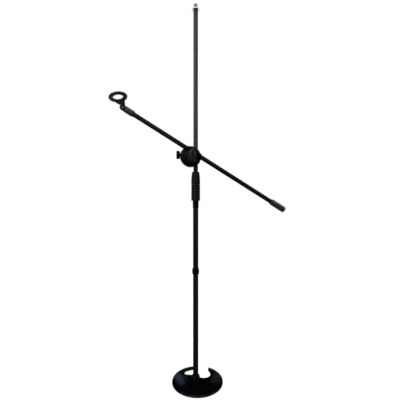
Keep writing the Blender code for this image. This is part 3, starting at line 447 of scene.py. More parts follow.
def pipe(low, high, outer, wall, lip=0.0004):
    """The section of a cut tube with its edges broken, as a closed loop run down the outside."""
    inner = outer - wall
    loop = [(outer, high, lip), (outer, low, lip), (inner, low, lip), (inner, high, lip)]
    return looped(softened(loop, 3, closed=True))


powder_coat, tree, paint, where = new_material("black_powder_coat_on_steel_tube")
# Orange peel with waves about 1.2 mm across, and rub marks that run along the pole.
peel = add(tree, "ShaderNodeTexNoise", {"Vector": where, "Scale": 1 / 0.0012, "Detail": 1.0})
along = add(tree, "ShaderNodeMapping", {"Vector": where, "Scale": (1.0, 1.0, 0.05)})
rubs = add(tree, "ShaderNodeTexNoise", {"Vector": along.outputs[0], "Scale": 1 / 0.004, "Detail": 4.0})
drift(tree, paint, rubs.outputs["Fac"], ("#04080b", "#0b1014"), (0.45, 0.60))
relief = add(tree, "ShaderNodeBump", {"Height": peel.outputs["Fac"], "Strength": 0.12, "Distance": 0.00015})
feed(tree, paint, {"Normal": relief.outputs["Normal"], "Specular IOR Level": 0.10})

zinc, tree, metal, where = new_material("zinc_plated_steel")
# Plating crystals about 0.8 mm across that vary the shine of a turned steel part.
spangle = add(tree, "ShaderNodeTexVoronoi", {"Vector": where, "Scale": 1 / 0.0008}).outputs["Distance"]
drift(tree, metal, spangle, ("#b4b7bb", "#8f9398"), (0.40, 0.58))
feed(tree, metal, {"Metallic": 1.0})


def plated(name, patch, tones, roughness):
    """A metal whose tone and shine drift from a first value to a second, in patches of a real size."""
    material, tree, metal, where = new_material(name)
    cloud = add(tree, "ShaderNodeTexNoise", {"Vector": where, "Scale": 1 / patch, "Detail": 3.0})
    drift(tree, metal, cloud.outputs["Fac"], tones, roughness)
    feed(tree, metal, {"Metallic": 1.0})
    return material


# Oil left on the oxide makes its shine uneven, in patches of about 4 mm.
black_oxide = plated("black_oxide_on_steel", 0.004, ("#1c1d20", "#33353a"), (0.35, 0.50))

washer = softened(
    [
        (WASHER_BORE, WASHER_TOP, 0.0003),
        (WASHER_R, WASHER_TOP, 0.0005),
        (WASHER_R, WASHER_LOW, 0.0003),
        (WASHER_BORE, WASHER_LOW, 0.0003),
    ],
    closed=True,
)
fit("hub_washer_plate", turned(looped(washer)), black_oxide, "base", "hub_washer")
bottom_pipe = pipe(WASHER_TOP + SLIP, COLLAR_Z - TUBE_GAP, LOWER_R, LOWER_WALL)
fit("lower_pole_bottom", turned(bottom_pipe), powder_coat, "base", "lower_tube_bottom")
top_pipe = pipe(COLLAR_Z + TUBE_GAP, LOWER_TOP, LOWER_R, LOWER_WALL)
fit("lower_pole_top", turned(top_pipe), powder_coat, "base", "lower_tube_top")


def finish_solids(finishes):
    """Gives the solids that keep their own shape a better material."""
    for node, material in finishes.items():
        node_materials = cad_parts[node].data.materials
        node_materials.clear()
        node_materials.append(material)


finish_solids({"hub_stud": zinc, "tube_plug": zinc})

NYLON_IOR = 1.53
nylon, tree, plastic, where = new_material("glass_filled_black_nylon")
# Short glass fibres near the skin give a faint speckle of about 0.7 mm, and the flow of the melt gives
# slow streaks in the gloss.
fibres = add(tree, "ShaderNodeTexNoise", {"Vector": where, "Scale": 1 / 0.0007, "Detail": 2.0})
flow = {"Vector": where, "Scale": 1 / 0.012, "Detail": 3.0, "Distortion": 1.2}
flow = add(tree, "ShaderNodeTexNoise", flow)
drift(tree, plastic, flow.outputs["Fac"], ("#020406", "#06090d"), (0.38, 0.52))
relief = add(tree, "ShaderNodeBump", {"Height": fibres.outputs["Fac"], "Strength": 0.10, "Distance": 0.0001})
feed(tree, plastic, {"Normal": relief.outputs["Normal"], "IOR": NYLON_IOR, "Specular IOR Level": 0.035})

collar = softened(
    [
        (LOWER_R + SLIP, COLLAR_Z + COLLAR_HALF, 0),
        (0.0125, COLLAR_Z + COLLAR_HALF, 0.0006),
        (0.0139, COLLAR_Z + 0.0075, 0.003),
        (0.0147, COLLAR_Z + 0.0008, 0.003),
        (0.0147, COLLAR_Z - 0.0080, 0.002),
        (0.0133, COLLAR_Z - COLLAR_HALF, 0.0012),
        (LOWER_R + SLIP, COLLAR_Z - COLLAR_HALF, 0),
    ]
)
fit("pole_sleeve", turned(looped(collar)), nylon, "base", "coupling_sleeve")


# Clutch. A threaded ferrule on the lower tube, a split collet inside it, and the nut that closes it.
# The nut carries a rubber grip, waisted rings below and rows of moulded dimples on its tapered top.
GRIP_LOW, GRIP_L = 0.753, 0.119
GRIP_R, GRIP_TOP_R, GRIP_BORE = 0.0185, 0.0153, 0.0156
SHOULDER = 0.045
LIP_H, LIP_ROUND, FOOT_ROUND = 0.002, 0.0012, 0.0016
RING_PITCH, RING_DEPTH, RING_FADE = 0.0115, 0.0011, 0.004
DIMPLES_ROUND, DIMPLE_PITCH, DIMPLE_DEPTH, DIMPLE_FADE = 14, 0.0105, 0.0012, 0.003
FERRULE_LOW, FERRULE_R, FERRULE_THREAD_R = 0.722, 0.0123, 0.0130
FERRULE_TOP = GRIP_LOW + 0.04
NUT_R, NUT_BORE = 0.0154, 0.0134
UPPER_R, UPPER_CLEAR = 0.0095, 0.0006

ferrule = softened(
    [
        (LOWER_R + SLIP, FERRULE_TOP, 0),
        (FERRULE_THREAD_R, FERRULE_TOP, 0.0004),
        (FERRULE_THREAD_R, GRIP_LOW + 0.0005, 0.0003),
        (FERRULE_R, GRIP_LOW + 0.0003, 0.0003),
        (FERRULE_R, FERRULE_LOW + 0.006, 0.0006),
        (0.0120, FERRULE_LOW, 0.0004),
        (LOWER_R + SLIP, FERRULE_LOW, 0),
    ]
)
fit("clutch_ferrule_moulding", turned(looped(ferrule)), nylon, "base", "clutch_ferrule")

lip_height = np.linspace(GRIP_L, GRIP_L - LIP_H, 6)
side_height = np.linspace(GRIP_L - LIP_H, FOOT_ROUND, 230)
grip_height = np.concatenate([lip_height, side_height[1:]])
below_top = np.clip((GRIP_L - grip_height) / SHOULDER, 0, 1)
grip_radius = GRIP_TOP_R + (GRIP_R - GRIP_TOP_R) * np.sin(below_top * math.pi / 2)
grip_radius -= LIP_ROUND * np.clip((grip_height - GRIP_L + LIP_H) / LIP_H, 0, 1) ** 2
below_shoulder = GRIP_L - SHOULDER - grip_height
band = (grip_height < GRIP_L - SHOULDER) * np.clip(below_shoulder / RING_FADE, 0, 1)
ring_wave = 0.5 - 0.5 * np.cos(math.tau * below_shoulder / RING_PITCH)
grip_radius -= RING_DEPTH * band * ring_wave**2
grip_side = np.stack([grip_radius, grip_height], axis=1)
grip_foot = softened(
    [
        (GRIP_R, FOOT_ROUND, 0),
        (GRIP_R - 0.0001, 0, 0.0009),
        (GRIP_BORE, 0, 0),
        (GRIP_BORE, 0.004, 0),
    ]
)
grip_inside = [(GRIP_BORE, GRIP_L - SHOULDER), (0.0147, GRIP_L - 0.006), (0.0144, GRIP_L)]
grip_profile = np.vstack([grip_side, grip_foot, grip_inside, grip_side[:1]])
grip_profile[:, 1] += GRIP_LOW


def dimples(angle):
    """Rows of round dents on the shoulder: a cosine lattice with every other row shifted by half a step."""
    height = grip_profile[:, 1:] - GRIP_LOW
    outside = (np.arange(len(grip_profile))[:, None] < len(grip_height)) * 1.0
    above_rings = np.clip((height - GRIP_L + SHOULDER - 0.002) / DIMPLE_FADE, 0, 1)
    below_lip = np.clip((GRIP_L - 0.004 - height) / DIMPLE_FADE, 0, 1)
    lattice = np.cos(DIMPLES_ROUND * angle) * np.cos(math.tau * (height - GRIP_L) / DIMPLE_PITCH)
    return -DIMPLE_DEPTH * outside * (above_rings * below_lip) * np.clip(lattice, 0, 1) ** 1.5


grip_grid = turned(grip_profile, around=196, wave=dimples)
fit("grip_sleeve", grip_grid, rubber, "grip", "clutch_grip")
nut = softened(
    [
        (UPPER_R + UPPER_CLEAR, GRIP_LOW + 0.100, 0),
        (UPPER_R + UPPER_CLEAR, GRIP_LOW + GRIP_L - 0.0006, 0.0004),
        (0.0139, GRIP_LOW + GRIP_L - 0.0006, 0.0006),
        (0.0142, GRIP_LOW + GRIP_L - 0.006, 0.0006),
        (NUT_R, GRIP_LOW + GRIP_L - SHOULDER, 0.0006),
        (NUT_R, GRIP_LOW + 0.001, 0.0006),
        (NUT_BORE, GRIP_LOW + 0.001, 0.0004),
        (NUT_BORE, GRIP_LOW + 0.063, 0.0004),
    ]
)
fit("clutch_nut_moulding", turned(looped(nut)), nylon, "grip", "clutch_nut")
finish_solids({"clutch_collet": nylon})


# Upper pole. A drawn steel tube in a greyer satin coat that slides in the clutch on a nylon bush.
# A chromed brass insert is pressed into its top, with a flange and the coarse microphone thread.
MAST_LOW, MAST_TOP = 0.672, 1.5445
UPPER_WALL = 0.0012
# Heights between which the painted shade below the clamp fades out.
PAINTED_SHADE_FADES, PAINTED_SHADE_ENDS = 0.895, 0.925
INSERT_R, INSERT_DEPTH = 0.0080, 0.028
THREAD_R, THREAD_L, THREAD_TIP = 0.0079, 0.0230, 0.0010
THREAD_PITCH, THREAD_DEPTH = 0.0254 / 27, 0.00058
THREAD_AROUND = 72
FLANGE_R, FLANGE_H = 0.0165, 0.0020

satin_coat, tree, paint, where = new_material("satin_black_coat_on_drawn_tube")
# Draw lines under the coat, about 1 mm apart and very long, and the rub of the collet.
drawn = add(tree, "ShaderNodeMapping", {"Vector": where, "Scale": (1.0, 1.0, 0.01)})
lines = add(tree, "ShaderNodeTexNoise", {"Vector": drawn.outputs[0], "Scale": 1 / 0.001, "Detail": 3.0})
rub = add(tree, "ShaderNodeTexNoise", {"Vector": where, "Scale": 1 / 0.025, "Detail": 4.0})
tones = {"Factor": rub.outputs["Fac"], "A": to_linear("#191e21"), "B": to_linear("#262c30")}
tone = add(tree, "ShaderNodeMix", tones, data_type="RGBA")
gloss = add(tree, "ShaderNodeMapRange", {"Value": lines.outputs["Fac"], "To Min": 0.38, "To Max": 0.54})
# Painted shade: below the clamp the coat is painted nearly black and made rougher, as if in the clamp's
# shadow, and this fades out behind the clamp.
height = add(tree, "ShaderNodeSeparateXYZ", {0: where}).outputs["Z"]
unshaded = {"Value": height, "From Min": PAINTED_SHADE_FADES, "From Max": PAINTED_SHADE_ENDS}
unshaded = add(tree, "ShaderNodeMapRange", unshaded, interpolation_type="SMOOTHSTEP").outputs["Result"]
# The painted shade: a near-black tone that takes over below those heights.
tones = {"Factor": unshaded, "A": to_linear("#04070a"), "B": tone.outputs["Result"]}
tone = add(tree, "ShaderNodeMix", tones, data_type="RGBA")
gloss = add(tree, "ShaderNodeMix", {"Factor": unshaded, 2: 0.75, 3: gloss.outputs["Result"]})
relief = add(tree, "ShaderNodeBump", {"Height": lines.outputs["Fac"], "Strength": 0.08, "Distance": 0.0001})
feed(tree, paint, {"Base Color": tone.outputs["Result"], "Roughness": gloss.outputs[0]})
feed(tree, paint, {"Normal": relief.outputs["Normal"], "Specular IOR Level": 0.30})

mast_grid = turned(pipe(MAST_LOW, MAST_TOP, UPPER_R, UPPER_WALL))
fit("upper_pole", mast_grid, satin_coat, "mast", "upper_tube")
finish_solids({"mast_bush": nylon})

# A mirror with faint haze in spots of about 2 mm, where fingers have dulled it.
chrome = plated("bright_chrome_plate", 0.002, ("#e2e4e6", "#c9ccd0"), (0.10, 0.24))


def threaded(low, length, radius, pitch, depth):
    """Profile and wave of an outside thread.

    The profile climbs the blank, and the wave takes a triangular groove off it whose place shifts by one
    pitch in each turn, fading at both ends of the blank.
    """
    height = np.linspace(low + length, low, int(length / pitch * 8))
    blank = np.stack([np.full_like(height, radius), height], axis=1)

    def groove(angle):
        climb = height[:, None] - low
        turn = climb / pitch - angle / math.tau
        fade = np.clip(climb / 0.001, 0, 1) * np.clip((low + length - height[:, None]) / 0.0012, 0, 1)
        return -depth * 2 * np.abs(turn % 1 - 0.5) * fade

    return blank, groove


flange_low = MAST_TOP + SLIP
flange_top = flange_low + FLANGE_H
thread_end = flange_top + THREAD_L
blank, groove = threaded(flange_top, THREAD_L - THREAD_TIP, THREAD_R, THREAD_PITCH, THREAD_DEPTH)
thread_grid = turned(blank, around=THREAD_AROUND, wave=groove)
tip_rings = turned(np.array([(0, thread_end), (THREAD_R - 0.0009, thread_end)]), around=THREAD_AROUND)
root_ring = turned(np.array([(0, flange_top)]), around=THREAD_AROUND)
thread_grid = np.concatenate([tip_rings, thread_grid, root_ring])
fit("top_thread", thread_grid, chrome, "mast", "thread_insert")
flange = softened(
    [
        (0, flange_top, 0),
        (FLANGE_R, flange_top, 0.0008),
        (FLANGE_R, flange_low, 0.0008),
        (INSERT_R, flange_low, 0.0002),
        (INSERT_R, MAST_TOP - INSERT_DEPTH, 0.0006),
        (0, MAST_TOP - INSERT_DEPTH, 0),
    ]
)
fit("top_flange", turned(flange), chrome, "mast", "thread_insert")


# Rear half of the cross clamp. One nylon moulding: a sleeve that slides and turns on the pole, a disc
# that faces the boom, and a boss for the screw. A liner keeps it off the coat of the pole.
CLAMP_Z = 0.9314
CLAMP_YAW = math.radians(12.5)
POLE_OFFSET = 0.0268
SLEEVE_HALF, SLEEVE_R, SLEEVE_BORE = 0.023, 0.0165, 0.0115
LIP_BORE = 0.0143
DISC_R, DISC_BACK, DISC_FRONT = 0.034, 0.006, 0.020
SWIVEL_BORE = 0.0044
SCREW_RISE = 0.0094
BOSS_R, BOSS_BORE, BOSS_ROOT, BOSS_END = 0.0085, 0.0033, 0.0130, 0.0425
UP = np.array([0.0, 0.0, 1.0])
along_clamp = np.array([math.cos(CLAMP_YAW), math.sin(CLAMP_YAW), 0.0])
to_viewer = np.cross(along_clamp, UP)
clamp_place = np.stack([CLAMP_Z * UP, along_clamp, -to_viewer, UP])
swivel_place = np.stack([CLAMP_Z * UP - POLE_OFFSET * along_clamp, along_clamp, UP, to_viewer])
screw_place = np.stack([(CLAMP_Z + SCREW_RISE) * UP, UP, to_viewer, -along_clamp])

sleeve = softened(
    [
        (SLEEVE_BORE, SLEEVE_HALF, 0.0005),
        (SLEEVE_R, SLEEVE_HALF, 0.0014),
        (SLEEVE_R, -SLEEVE_HALF, 0.0014),
        (SLEEVE_BORE, -SLEEVE_HALF, 0.0005),
    ],
    closed=True,
)
fit("clamp_sleeve", turned(looped(sleeve), clamp_place), nylon, "pole_clamp", "pole_clamp")
disc = softened(
    [
        (SWIVEL_BORE, DISC_FRONT, 0),
        (DISC_R, DISC_FRONT, 0.0012),
        (DISC_R, DISC_BACK + 0.004, 0.0025),
        (DISC_R - 0.006, DISC_BACK, 0.0025),
    ]
)
disc_back = np.stack([np.linspace(DISC_R - 0.007, SWIVEL_BORE, 40), np.full(40, DISC_BACK)], axis=1)
disc = np.vstack([disc[:-1], disc_back, [(SWIVEL_BORE, DISC_FRONT)]])


def bored(grid):
    """The same surface with the pole's bore through it.

    Where a point lies inside the bore, it is pushed towards the viewer onto the bore's round wall. Above
    the sleeve the bore is wider, for the lip of the liner.
    """
    across = (grid - clamp_place[0]) @ along_clamp
    ahead = (grid - clamp_place[0]) @ to_viewer
    radius = np.where(grid[..., 2] > CLAMP_Z + SLEEVE_HALF, LIP_BORE, SLEEVE_BORE)
    wall = np.sqrt(np.clip(radius**2 - across**2, 0, None))
    return grid + np.clip(wall - ahead, 0, None)[..., None] * (wall > 0)[..., None] * to_viewer


fit("clamp_disc", bored(turned(disc, swivel_place, 160)), nylon, "pole_clamp", "pole_clamp")
boss = softened(
    [
        (BOSS_BORE, BOSS_ROOT, 0),
        (BOSS_BORE, BOSS_END, 0.0004),
        (BOSS_R, BOSS_END, 0.0010),
        (BOSS_R, 0.0180, 0.0010),
        (0.0105, BOSS_ROOT, 0),
    ]
)
fit("clamp_boss", turned(looped(boss), screw_place, 64), nylon, "pole_clamp", "pole_clamp")

brass, tree, metal, where = new_material("turned_brass")
# Tool marks about 0.3 mm apart and a thin brown tarnish in patches.
tarnish = add(tree, "ShaderNodeTexNoise", {"Vector": where, "Scale": 1 / 0.003, "Detail": 4.0})
marks = add(tree, "ShaderNodeTexNoise", {"Vector": where, "Scale": 1 / 0.0003})
tones = {"Factor": tarnish.outputs["Fac"], "A": to_linear("#d8b56a"), "B": to_linear("#9c7a3c")}
tone = add(tree, "ShaderNodeMix", tones, data_type="RGBA")
shine = add(tree, "ShaderNodeMapRange", {"Value": marks.outputs["Fac"], "To Min": 0.22, "To Max": 0.40})
feed(tree, metal, {"Base Color": tone.outputs["Result"], "Roughness": shine.outputs["Result"]})
feed(tree, metal, {"Metallic": 1.0})

fibre, tree, felt, where = new_material("pressed_fibre_washer")
# Matted fibres about 0.4 mm thick, dark with graphite.
matted = {"Vector": where, "Scale": 1 / 0.0004, "Detail": 3.0, "Distortion": 2.0}
matted = add(tree, "ShaderNodeTexNoise", matted)
tones = {"Factor": matted.outputs["Fac"], "A": to_linear("#1d1815"), "B": to_linear("#3a3029")}
tone = add(tree, "ShaderNodeMix", tones, data_type="RGBA")
relief = add(tree, "ShaderNodeBump", {"Height": matted.outputs["Fac"], "Strength": 0.4, "Distance": 0.0002})
feed(tree, felt, {"Base Color": tone.outputs["Result"], "Roughness": 0.85})
feed(tree, felt, {"Normal": relief.outputs["Normal"]})

finish_solids({"clamp_liner": nylon, "swivel_stud": zinc, "friction_washer": fibre})


# Wing screw. A small nylon moulding round a steel screw: a hub with two full, square-shouldered wings.
# The screw runs through the boss of the rear half and presses a brass pad on the pole.
POLE_KNOB_OUT = 0.0575
POLE_KNOB_R, POLE_KNOB_BORE, POLE_KNOB_L = 0.0075, 0.0034, 0.024
WING_SPAN, WING_LOW, WING_CORNER = 0.033, 0.0085, 0.0038
WING_HALF, WING_EDGE = 0.003, 0.0013


def slab(place, outline, low, high, edge):
    """A flat outline with rounded edges, whose thickness runs along the place's first axis.

    Its sections run from one face to the other: the outline is drawn in along its normals by a quarter
    circle at each face.
    """
    after = np.roll(outline, -1, axis=0)
    step = after - np.roll(outline, 1, axis=0)
    normal = np.stack([step[:, 1], -step[:, 0]], axis=1)
    normal = normal / (np.linalg.norm(step, axis=1, keepdims=True) + 1e-12)
    area = np.sum(outline[:, 0] * after[:, 1] - after[:, 0] * outline[:, 1])
    normal *= np.sign(area)
    a = np.radians(np.linspace(0, 90, 5))
    drawn_in = np.concatenate([edge * (1 - np.sin(a)), edge * (1 - np.sin(a[::-1]))])
    level = np.concatenate([low + edge * (1 - np.cos(a)), high - edge * (1 - np.cos(a[::-1]))])
    rings = outline[None] - normal[None] * drawn_in[:, None, None]
    local = np.concatenate([level[:, None, None] + 0 * rings[..., :1], rings], axis=-1)
    return place[0] + local @ place[1:]


def wing_outline(hub_r, length, span, low, corner):
    """Both wings from the front: a bar with rounded corners whose outer edge dips over the hub."""
    half = span / 2
    corners = [
        (-half, low, corner),
        (half, low, corner),
        (half, length, corner),
        (0, length - 0.35 * hub_r, 0.5 * half),
        (-half, length, corner),
    ]
    return even(looped(softened(corners, 6, closed=True)), 141)[:-1]


def knob_hub(hub_r, bore, length):
    """Section of a knob's hub with a crowned end and an open socket behind."""
    corners = [
        (0, length, 0),
        (hub_r * 0.62, length - 0.0006, hub_r * 0.3),
        (hub_r, length - hub_r * 0.34, hub_r * 0.3),
        (hub_r, 0, 0.0010),
        (bore, 0, 0.0004),
        (bore, length * 0.45, 0.0003),
        (0, length * 0.45, 0),
    ]
    return softened(corners, 5)


pole_knob_place = screw_place.copy()
pole_knob_place[0] = screw_place[0] + POLE_KNOB_OUT * screw_place[3]
pole_knob_place[1], pole_knob_place[2] = screw_place[2], -screw_place[1]
small_hub = turned(knob_hub(POLE_KNOB_R, POLE_KNOB_BORE, POLE_KNOB_L), pole_knob_place, 64)
fit("pole_knob_hub", small_hub, nylon, "pole_screw", "pole_knob")
wings = wing_outline(POLE_KNOB_R, POLE_KNOB_L, WING_SPAN, WING_LOW, WING_CORNER)
wings_grid = slab(pole_knob_place, wings, -WING_HALF, WING_HALF, WING_EDGE)
fit("pole_knob_wings", wings_grid, nylon, "pole_screw", "pole_knob", caps=True)
finish_solids({"pole_screw": zinc, "pressure_pad": brass})


# Front half of the cross clamp. A nylon wheel with a ribbed rim and a smooth cap in front of it, which hold
# the boom between them in a channel that stands out at both sides of the wheel.
# A polished nylon knob, an oval bar over a hub with a brass nut in it, draws the halves together.
BOOM_OFFSET, BOOM_STANDOFF = 0.0183, 0.0397
BOOM_TILT = math.radians(30.5)
BOOM_R = 0.0092
WHEEL_R, WHEEL_BACK, WHEEL_FACE = 0.0436, 0.0226, 0.0389
RIM_FRONT = 0.0321
RIBS, RIB_DEPTH, RIB_ROOT_R, RIB_FADE = 36, 0.0019, 0.0335, 0.004
CHANNEL_R, CHANNEL_BORE, CHANNEL_TRIM = 0.0133, 0.0095, 0.0415
CHANNEL_POINTS = 28
CAP_BACK, CAP_CREST, CAP_R = 0.0405, 0.0540, 0.031
CAP_ROUND, CAP_RIM_H = 0.0105, 0.003
tilt_x = math.cos(BOOM_TILT) * along_clamp - math.sin(BOOM_TILT) * UP
tilt_y = math.sin(BOOM_TILT) * along_clamp + math.cos(BOOM_TILT) * UP
tilt_place = np.stack([swivel_place[0], tilt_x, tilt_y, to_viewer])
boom_middle = swivel_place[0] + BOOM_OFFSET * tilt_y + BOOM_STANDOFF * to_viewer
boom_place = np.stack([boom_middle, to_viewer, tilt_y, -tilt_x])

wheel_profile = softened(
    [
        (SWIVEL_BORE, WHEEL_FACE, 0.0003),
        (0.0310, WHEEL_FACE, 0.0010),
        (0.0330, WHEEL_FACE - 0.0010, 0.0010),
        (WHEEL_R - 0.0025, RIM_FRONT + 0.0004, 0.0014),
        (WHEEL_R, RIM_FRONT - 0.0020, 0.0014),
        (WHEEL_R, WHEEL_BACK + 0.0010, 0.0010),
        (WHEEL_R - 0.0030, WHEEL_BACK, 0.0008),
        (SWIVEL_BORE, WHEEL_BACK, 0.0003),
    ],
    6,
    closed=True,
)
wheel_profile = looped(wheel_profile)


def ribbed(angle):
    """Rounded ribs across the rim: grooves between them that are deepest at the edge and die out inwards."""
    depth = RIB_DEPTH * np.clip((wheel_profile[:, :1] - RIB_ROOT_R) / RIB_FADE, 0, 1)
    return -depth * (0.5 - 0.5 * np.cos(RIBS * angle)) ** 1.6


wheel_grid = turned(wheel_profile, tilt_place, RIBS * 10, ribbed)
fit("clamp_wheel", wheel_grid, nylon, "boom_clamp", "boom_clamp_wheel")
cap_curve = np.radians(np.linspace(90, 0, 24))
dome_radius = CAP_ROUND + (CAP_R - CAP_ROUND) * np.cos(cap_curve)
dome_height = CAP_BACK + CAP_RIM_H + CAP_ROUND * np.sin(cap_curve)
cap_profile = np.vstack(
    [
        [(SWIVEL_BORE, CAP_CREST)],
        np.stack([dome_radius, dome_height], axis=1),
        [(CAP_R - 0.0004, CAP_BACK), (SWIVEL_BORE, CAP_BACK), (SWIVEL_BORE, CAP_CREST)],
    ]
)
fit("clamp_cap", turned(cap_profile, tilt_place, 128), nylon, "boom_clamp", "boom_clamp_cap")


def trough(start, end, outer, inner):
    """Half of the channel: a ring sector between two angles, carried along the boom to the wheel's edge.

    At each point it reaches as far as the root of trim^2 - (offset + r sin(angle))^2, so that its ends lie
    on a cylinder about the wheel's axis. The outside sinks a little towards the ends.
    """
    angle = np.radians(np.linspace(start, end, CHANNEL_POINTS))
    angle = np.concatenate([angle, angle[::-1]])[None, :]
    share = np.array([-1, -0.97, -0.90, -0.75, 0.75, 0.90, 0.97, 1])[:, None]
    sunk = np.array([0.0016, 0.0009, 0.0003, 0, 0, 0.0003, 0.0009, 0.0016])[:, None]
    outside = np.arange(2 * CHANNEL_POINTS)[None, :] < CHANNEL_POINTS
    radius = np.where(outside, outer - sunk, inner)
    reach = np.sqrt(CHANNEL_TRIM**2 - (BOOM_OFFSET + radius * np.sin(angle)) ** 2)
    local = np.stack([radius * np.cos(angle), radius * np.sin(angle), share * reach], axis=-1)
    return boom_place[0] + local @ boom_place[1:]


back_trough = trough(94, 266, CHANNEL_R, CHANNEL_BORE)
fit("channel_back", back_trough, nylon, "boom_clamp", "boom_clamp_wheel", caps=True)
front_trough = trough(-86, 86, CHANNEL_R, CHANNEL_BORE)
fit("channel_front", front_trough, nylon, "boom_clamp", "boom_clamp_cap", caps=True)

polished_nylon, tree, plastic, where = new_material("polished_black_nylon")
# Unfilled nylon from a polished mould: a smooth deep black, with handling marks of about 5 mm in its gloss.
handling = add(tree, "ShaderNodeTexNoise", {"Vector": where, "Scale": 1 / 0.005, "Detail": 3.0})
drift(tree, plastic, handling.outputs["Fac"], ("#04070b", "#0a0d13"), (0.36, 0.46))
feed(tree, plastic, {"IOR": NYLON_IOR, "Specular IOR Level": 0.14})

KNOB_GAP = 0.0018
KNOB_HUB_R, KNOB_BORE, KNOB_HUB_L = 0.0115, 0.0076, 0.0110
KNOB_L, KNOB_LOW = 0.019, 0.003
KNOB_HALF_SPAN, KNOB_HALF_W, KNOB_END = 0.0255, 0.0172, 0.0065
clamp_knob_place = swivel_place.copy()
clamp_knob_place[0] = swivel_place[0] + (CAP_CREST + KNOB_GAP) * to_viewer
big_hub = turned(knob_hub(KNOB_HUB_R, KNOB_BORE, KNOB_HUB_L), clamp_knob_place)
fit("clamp_knob_hub", big_hub, polished_nylon, "clamp_knob", "clamp_knob")


def oval_bar(place, rows=40, around=160):
    """The bar of the knob: oval loops stacked from its back to its crest.

    A loop runs through span * |cos|^0.7 and width * |sin|, with the signs kept. Towards the crest its
    width follows a quarter ellipse, and its span shrinks by the rounding of the ends.
    """
    climb = np.radians(np.linspace(0, 90, rows))[:, None]
    turn = np.linspace(0, math.tau, around, endpoint=False)[None, :]
    reach = KNOB_HALF_SPAN - KNOB_END * (1 - np.cos(climb) ** 0.7)
    span = reach * np.sign(np.cos(turn)) * np.abs(np.cos(turn)) ** 0.7
    width = KNOB_HALF_W * np.cos(climb) * np.sin(turn)
    level = KNOB_LOW + (KNOB_L - KNOB_LOW) * np.sin(climb) + 0 * turn
    local = np.stack([width, span, level], axis=-1)
    back = local[:1] * np.array([0, 1, 1])
    return place[0] + np.concatenate([back, local]) @ place[1:]


fit("clamp_knob_wings", oval_bar(clamp_knob_place), polished_nylon, "clamp_knob", "clamp_knob")
finish_solids({"clamp_nut": brass, "knob_washer": zinc})


# Boom. A black steel tube with a zinc-plated threaded stud at the clip's end.
# Its counterweight is a steel slug in a ribbed rubber cup that is pushed over the low end.
BOOM_FRONT, BOOM_REAR, BOOM_WALL = 0.2706, 0.456, 0.001
WEIGHT_R, WEIGHT_MOUTH_R, WEIGHT_BORE, WEIGHT_CORE_R = 0.0132, 0.0105, 0.0095, 0.0118
WEIGHT_FULL, WEIGHT_TOP, WEIGHT_PLAIN = 0.058, 0.067, 0.003
WEIGHT_RINGS, WEIGHT_RING_DEPTH = 7, 0.0012
WEIGHT_END_R, WEIGHT_END_H, CORE_GAP = 0.0042, 0.0050, 0.0003
boom_pipe = pipe(-BOOM_REAR, BOOM_FRONT, BOOM_R, BOOM_WALL)
fit("boom_pipe", turned(boom_pipe, boom_place, 64), powder_coat, "boom", "boom_tube")

taper = np.linspace(0, 1, 16)
taper_radius = WEIGHT_MOUTH_R + (WEIGHT_R - WEIGHT_MOUTH_R) * taper**0.8
taper_height = WEIGHT_TOP + (WEIGHT_FULL - WEIGHT_TOP) * taper
weight_z = np.linspace(WEIGHT_FULL, 0, 160)[1:]
ring_share = np.clip((weight_z - WEIGHT_PLAIN) / (WEIGHT_FULL - 2 * WEIGHT_PLAIN), 0, 1)
weight_wave = 0.5 - 0.5 * np.cos(math.tau * WEIGHT_RINGS * ring_share)
end_turn = np.radians(np.linspace(0, 90, 10))
end_radius = WEIGHT_R - WEIGHT_END_R * (1 - np.cos(end_turn))
weight_profile = np.vstack(
    [
        [(0, -CORE_GAP), (WEIGHT_CORE_R, -CORE_GAP), (WEIGHT_CORE_R, WEIGHT_FULL)],
        [(WEIGHT_BORE, WEIGHT_FULL), (WEIGHT_BORE, WEIGHT_TOP)],
        np.stack([taper_radius, taper_height], axis=1),
        np.stack([WEIGHT_R - WEIGHT_RING_DEPTH * weight_wave**2, weight_z], axis=1),
        np.stack([end_radius, -WEIGHT_END_H * np.sin(end_turn)], axis=1),
        [(0, -WEIGHT_END_H)],
    ]
)
weight_profile[:, 1] -= BOOM_REAR
bloomed_rubber, tree, soft, where = new_material("bloomed_black_rubber")
# Handled less than the grip, this rubber keeps its bloom, a greenish grey film in patches of about 10 mm.
bloom = add(tree, "ShaderNodeTexNoise", {"Vector": where, "Scale": 1 / 0.010, "Detail": 4.0})
grain = add(tree, "ShaderNodeTexNoise", {"Vector": where, "Scale": 1 / 0.0005, "Detail": 2.0})
drift(tree, soft, bloom.outputs["Fac"], ("#0b100f", "#171d1b"), (0.34, 0.42))
relief = add(tree, "ShaderNodeBump", {"Height": grain.outputs["Fac"], "Strength": 0.15, "Distance": 0.0001})
feed(tree, soft, {"Normal": relief.outputs["Normal"], "Specular IOR Level": 0.45})
weight_grid = turned(weight_profile, boom_place)
fit("counterweight_cup", weight_grid, bloomed_rubber, "boom", "counterweight_sleeve")
finish_solids({"boom_stud": zinc, "counterweight_core": zinc, "boom_end_plug": nylon})


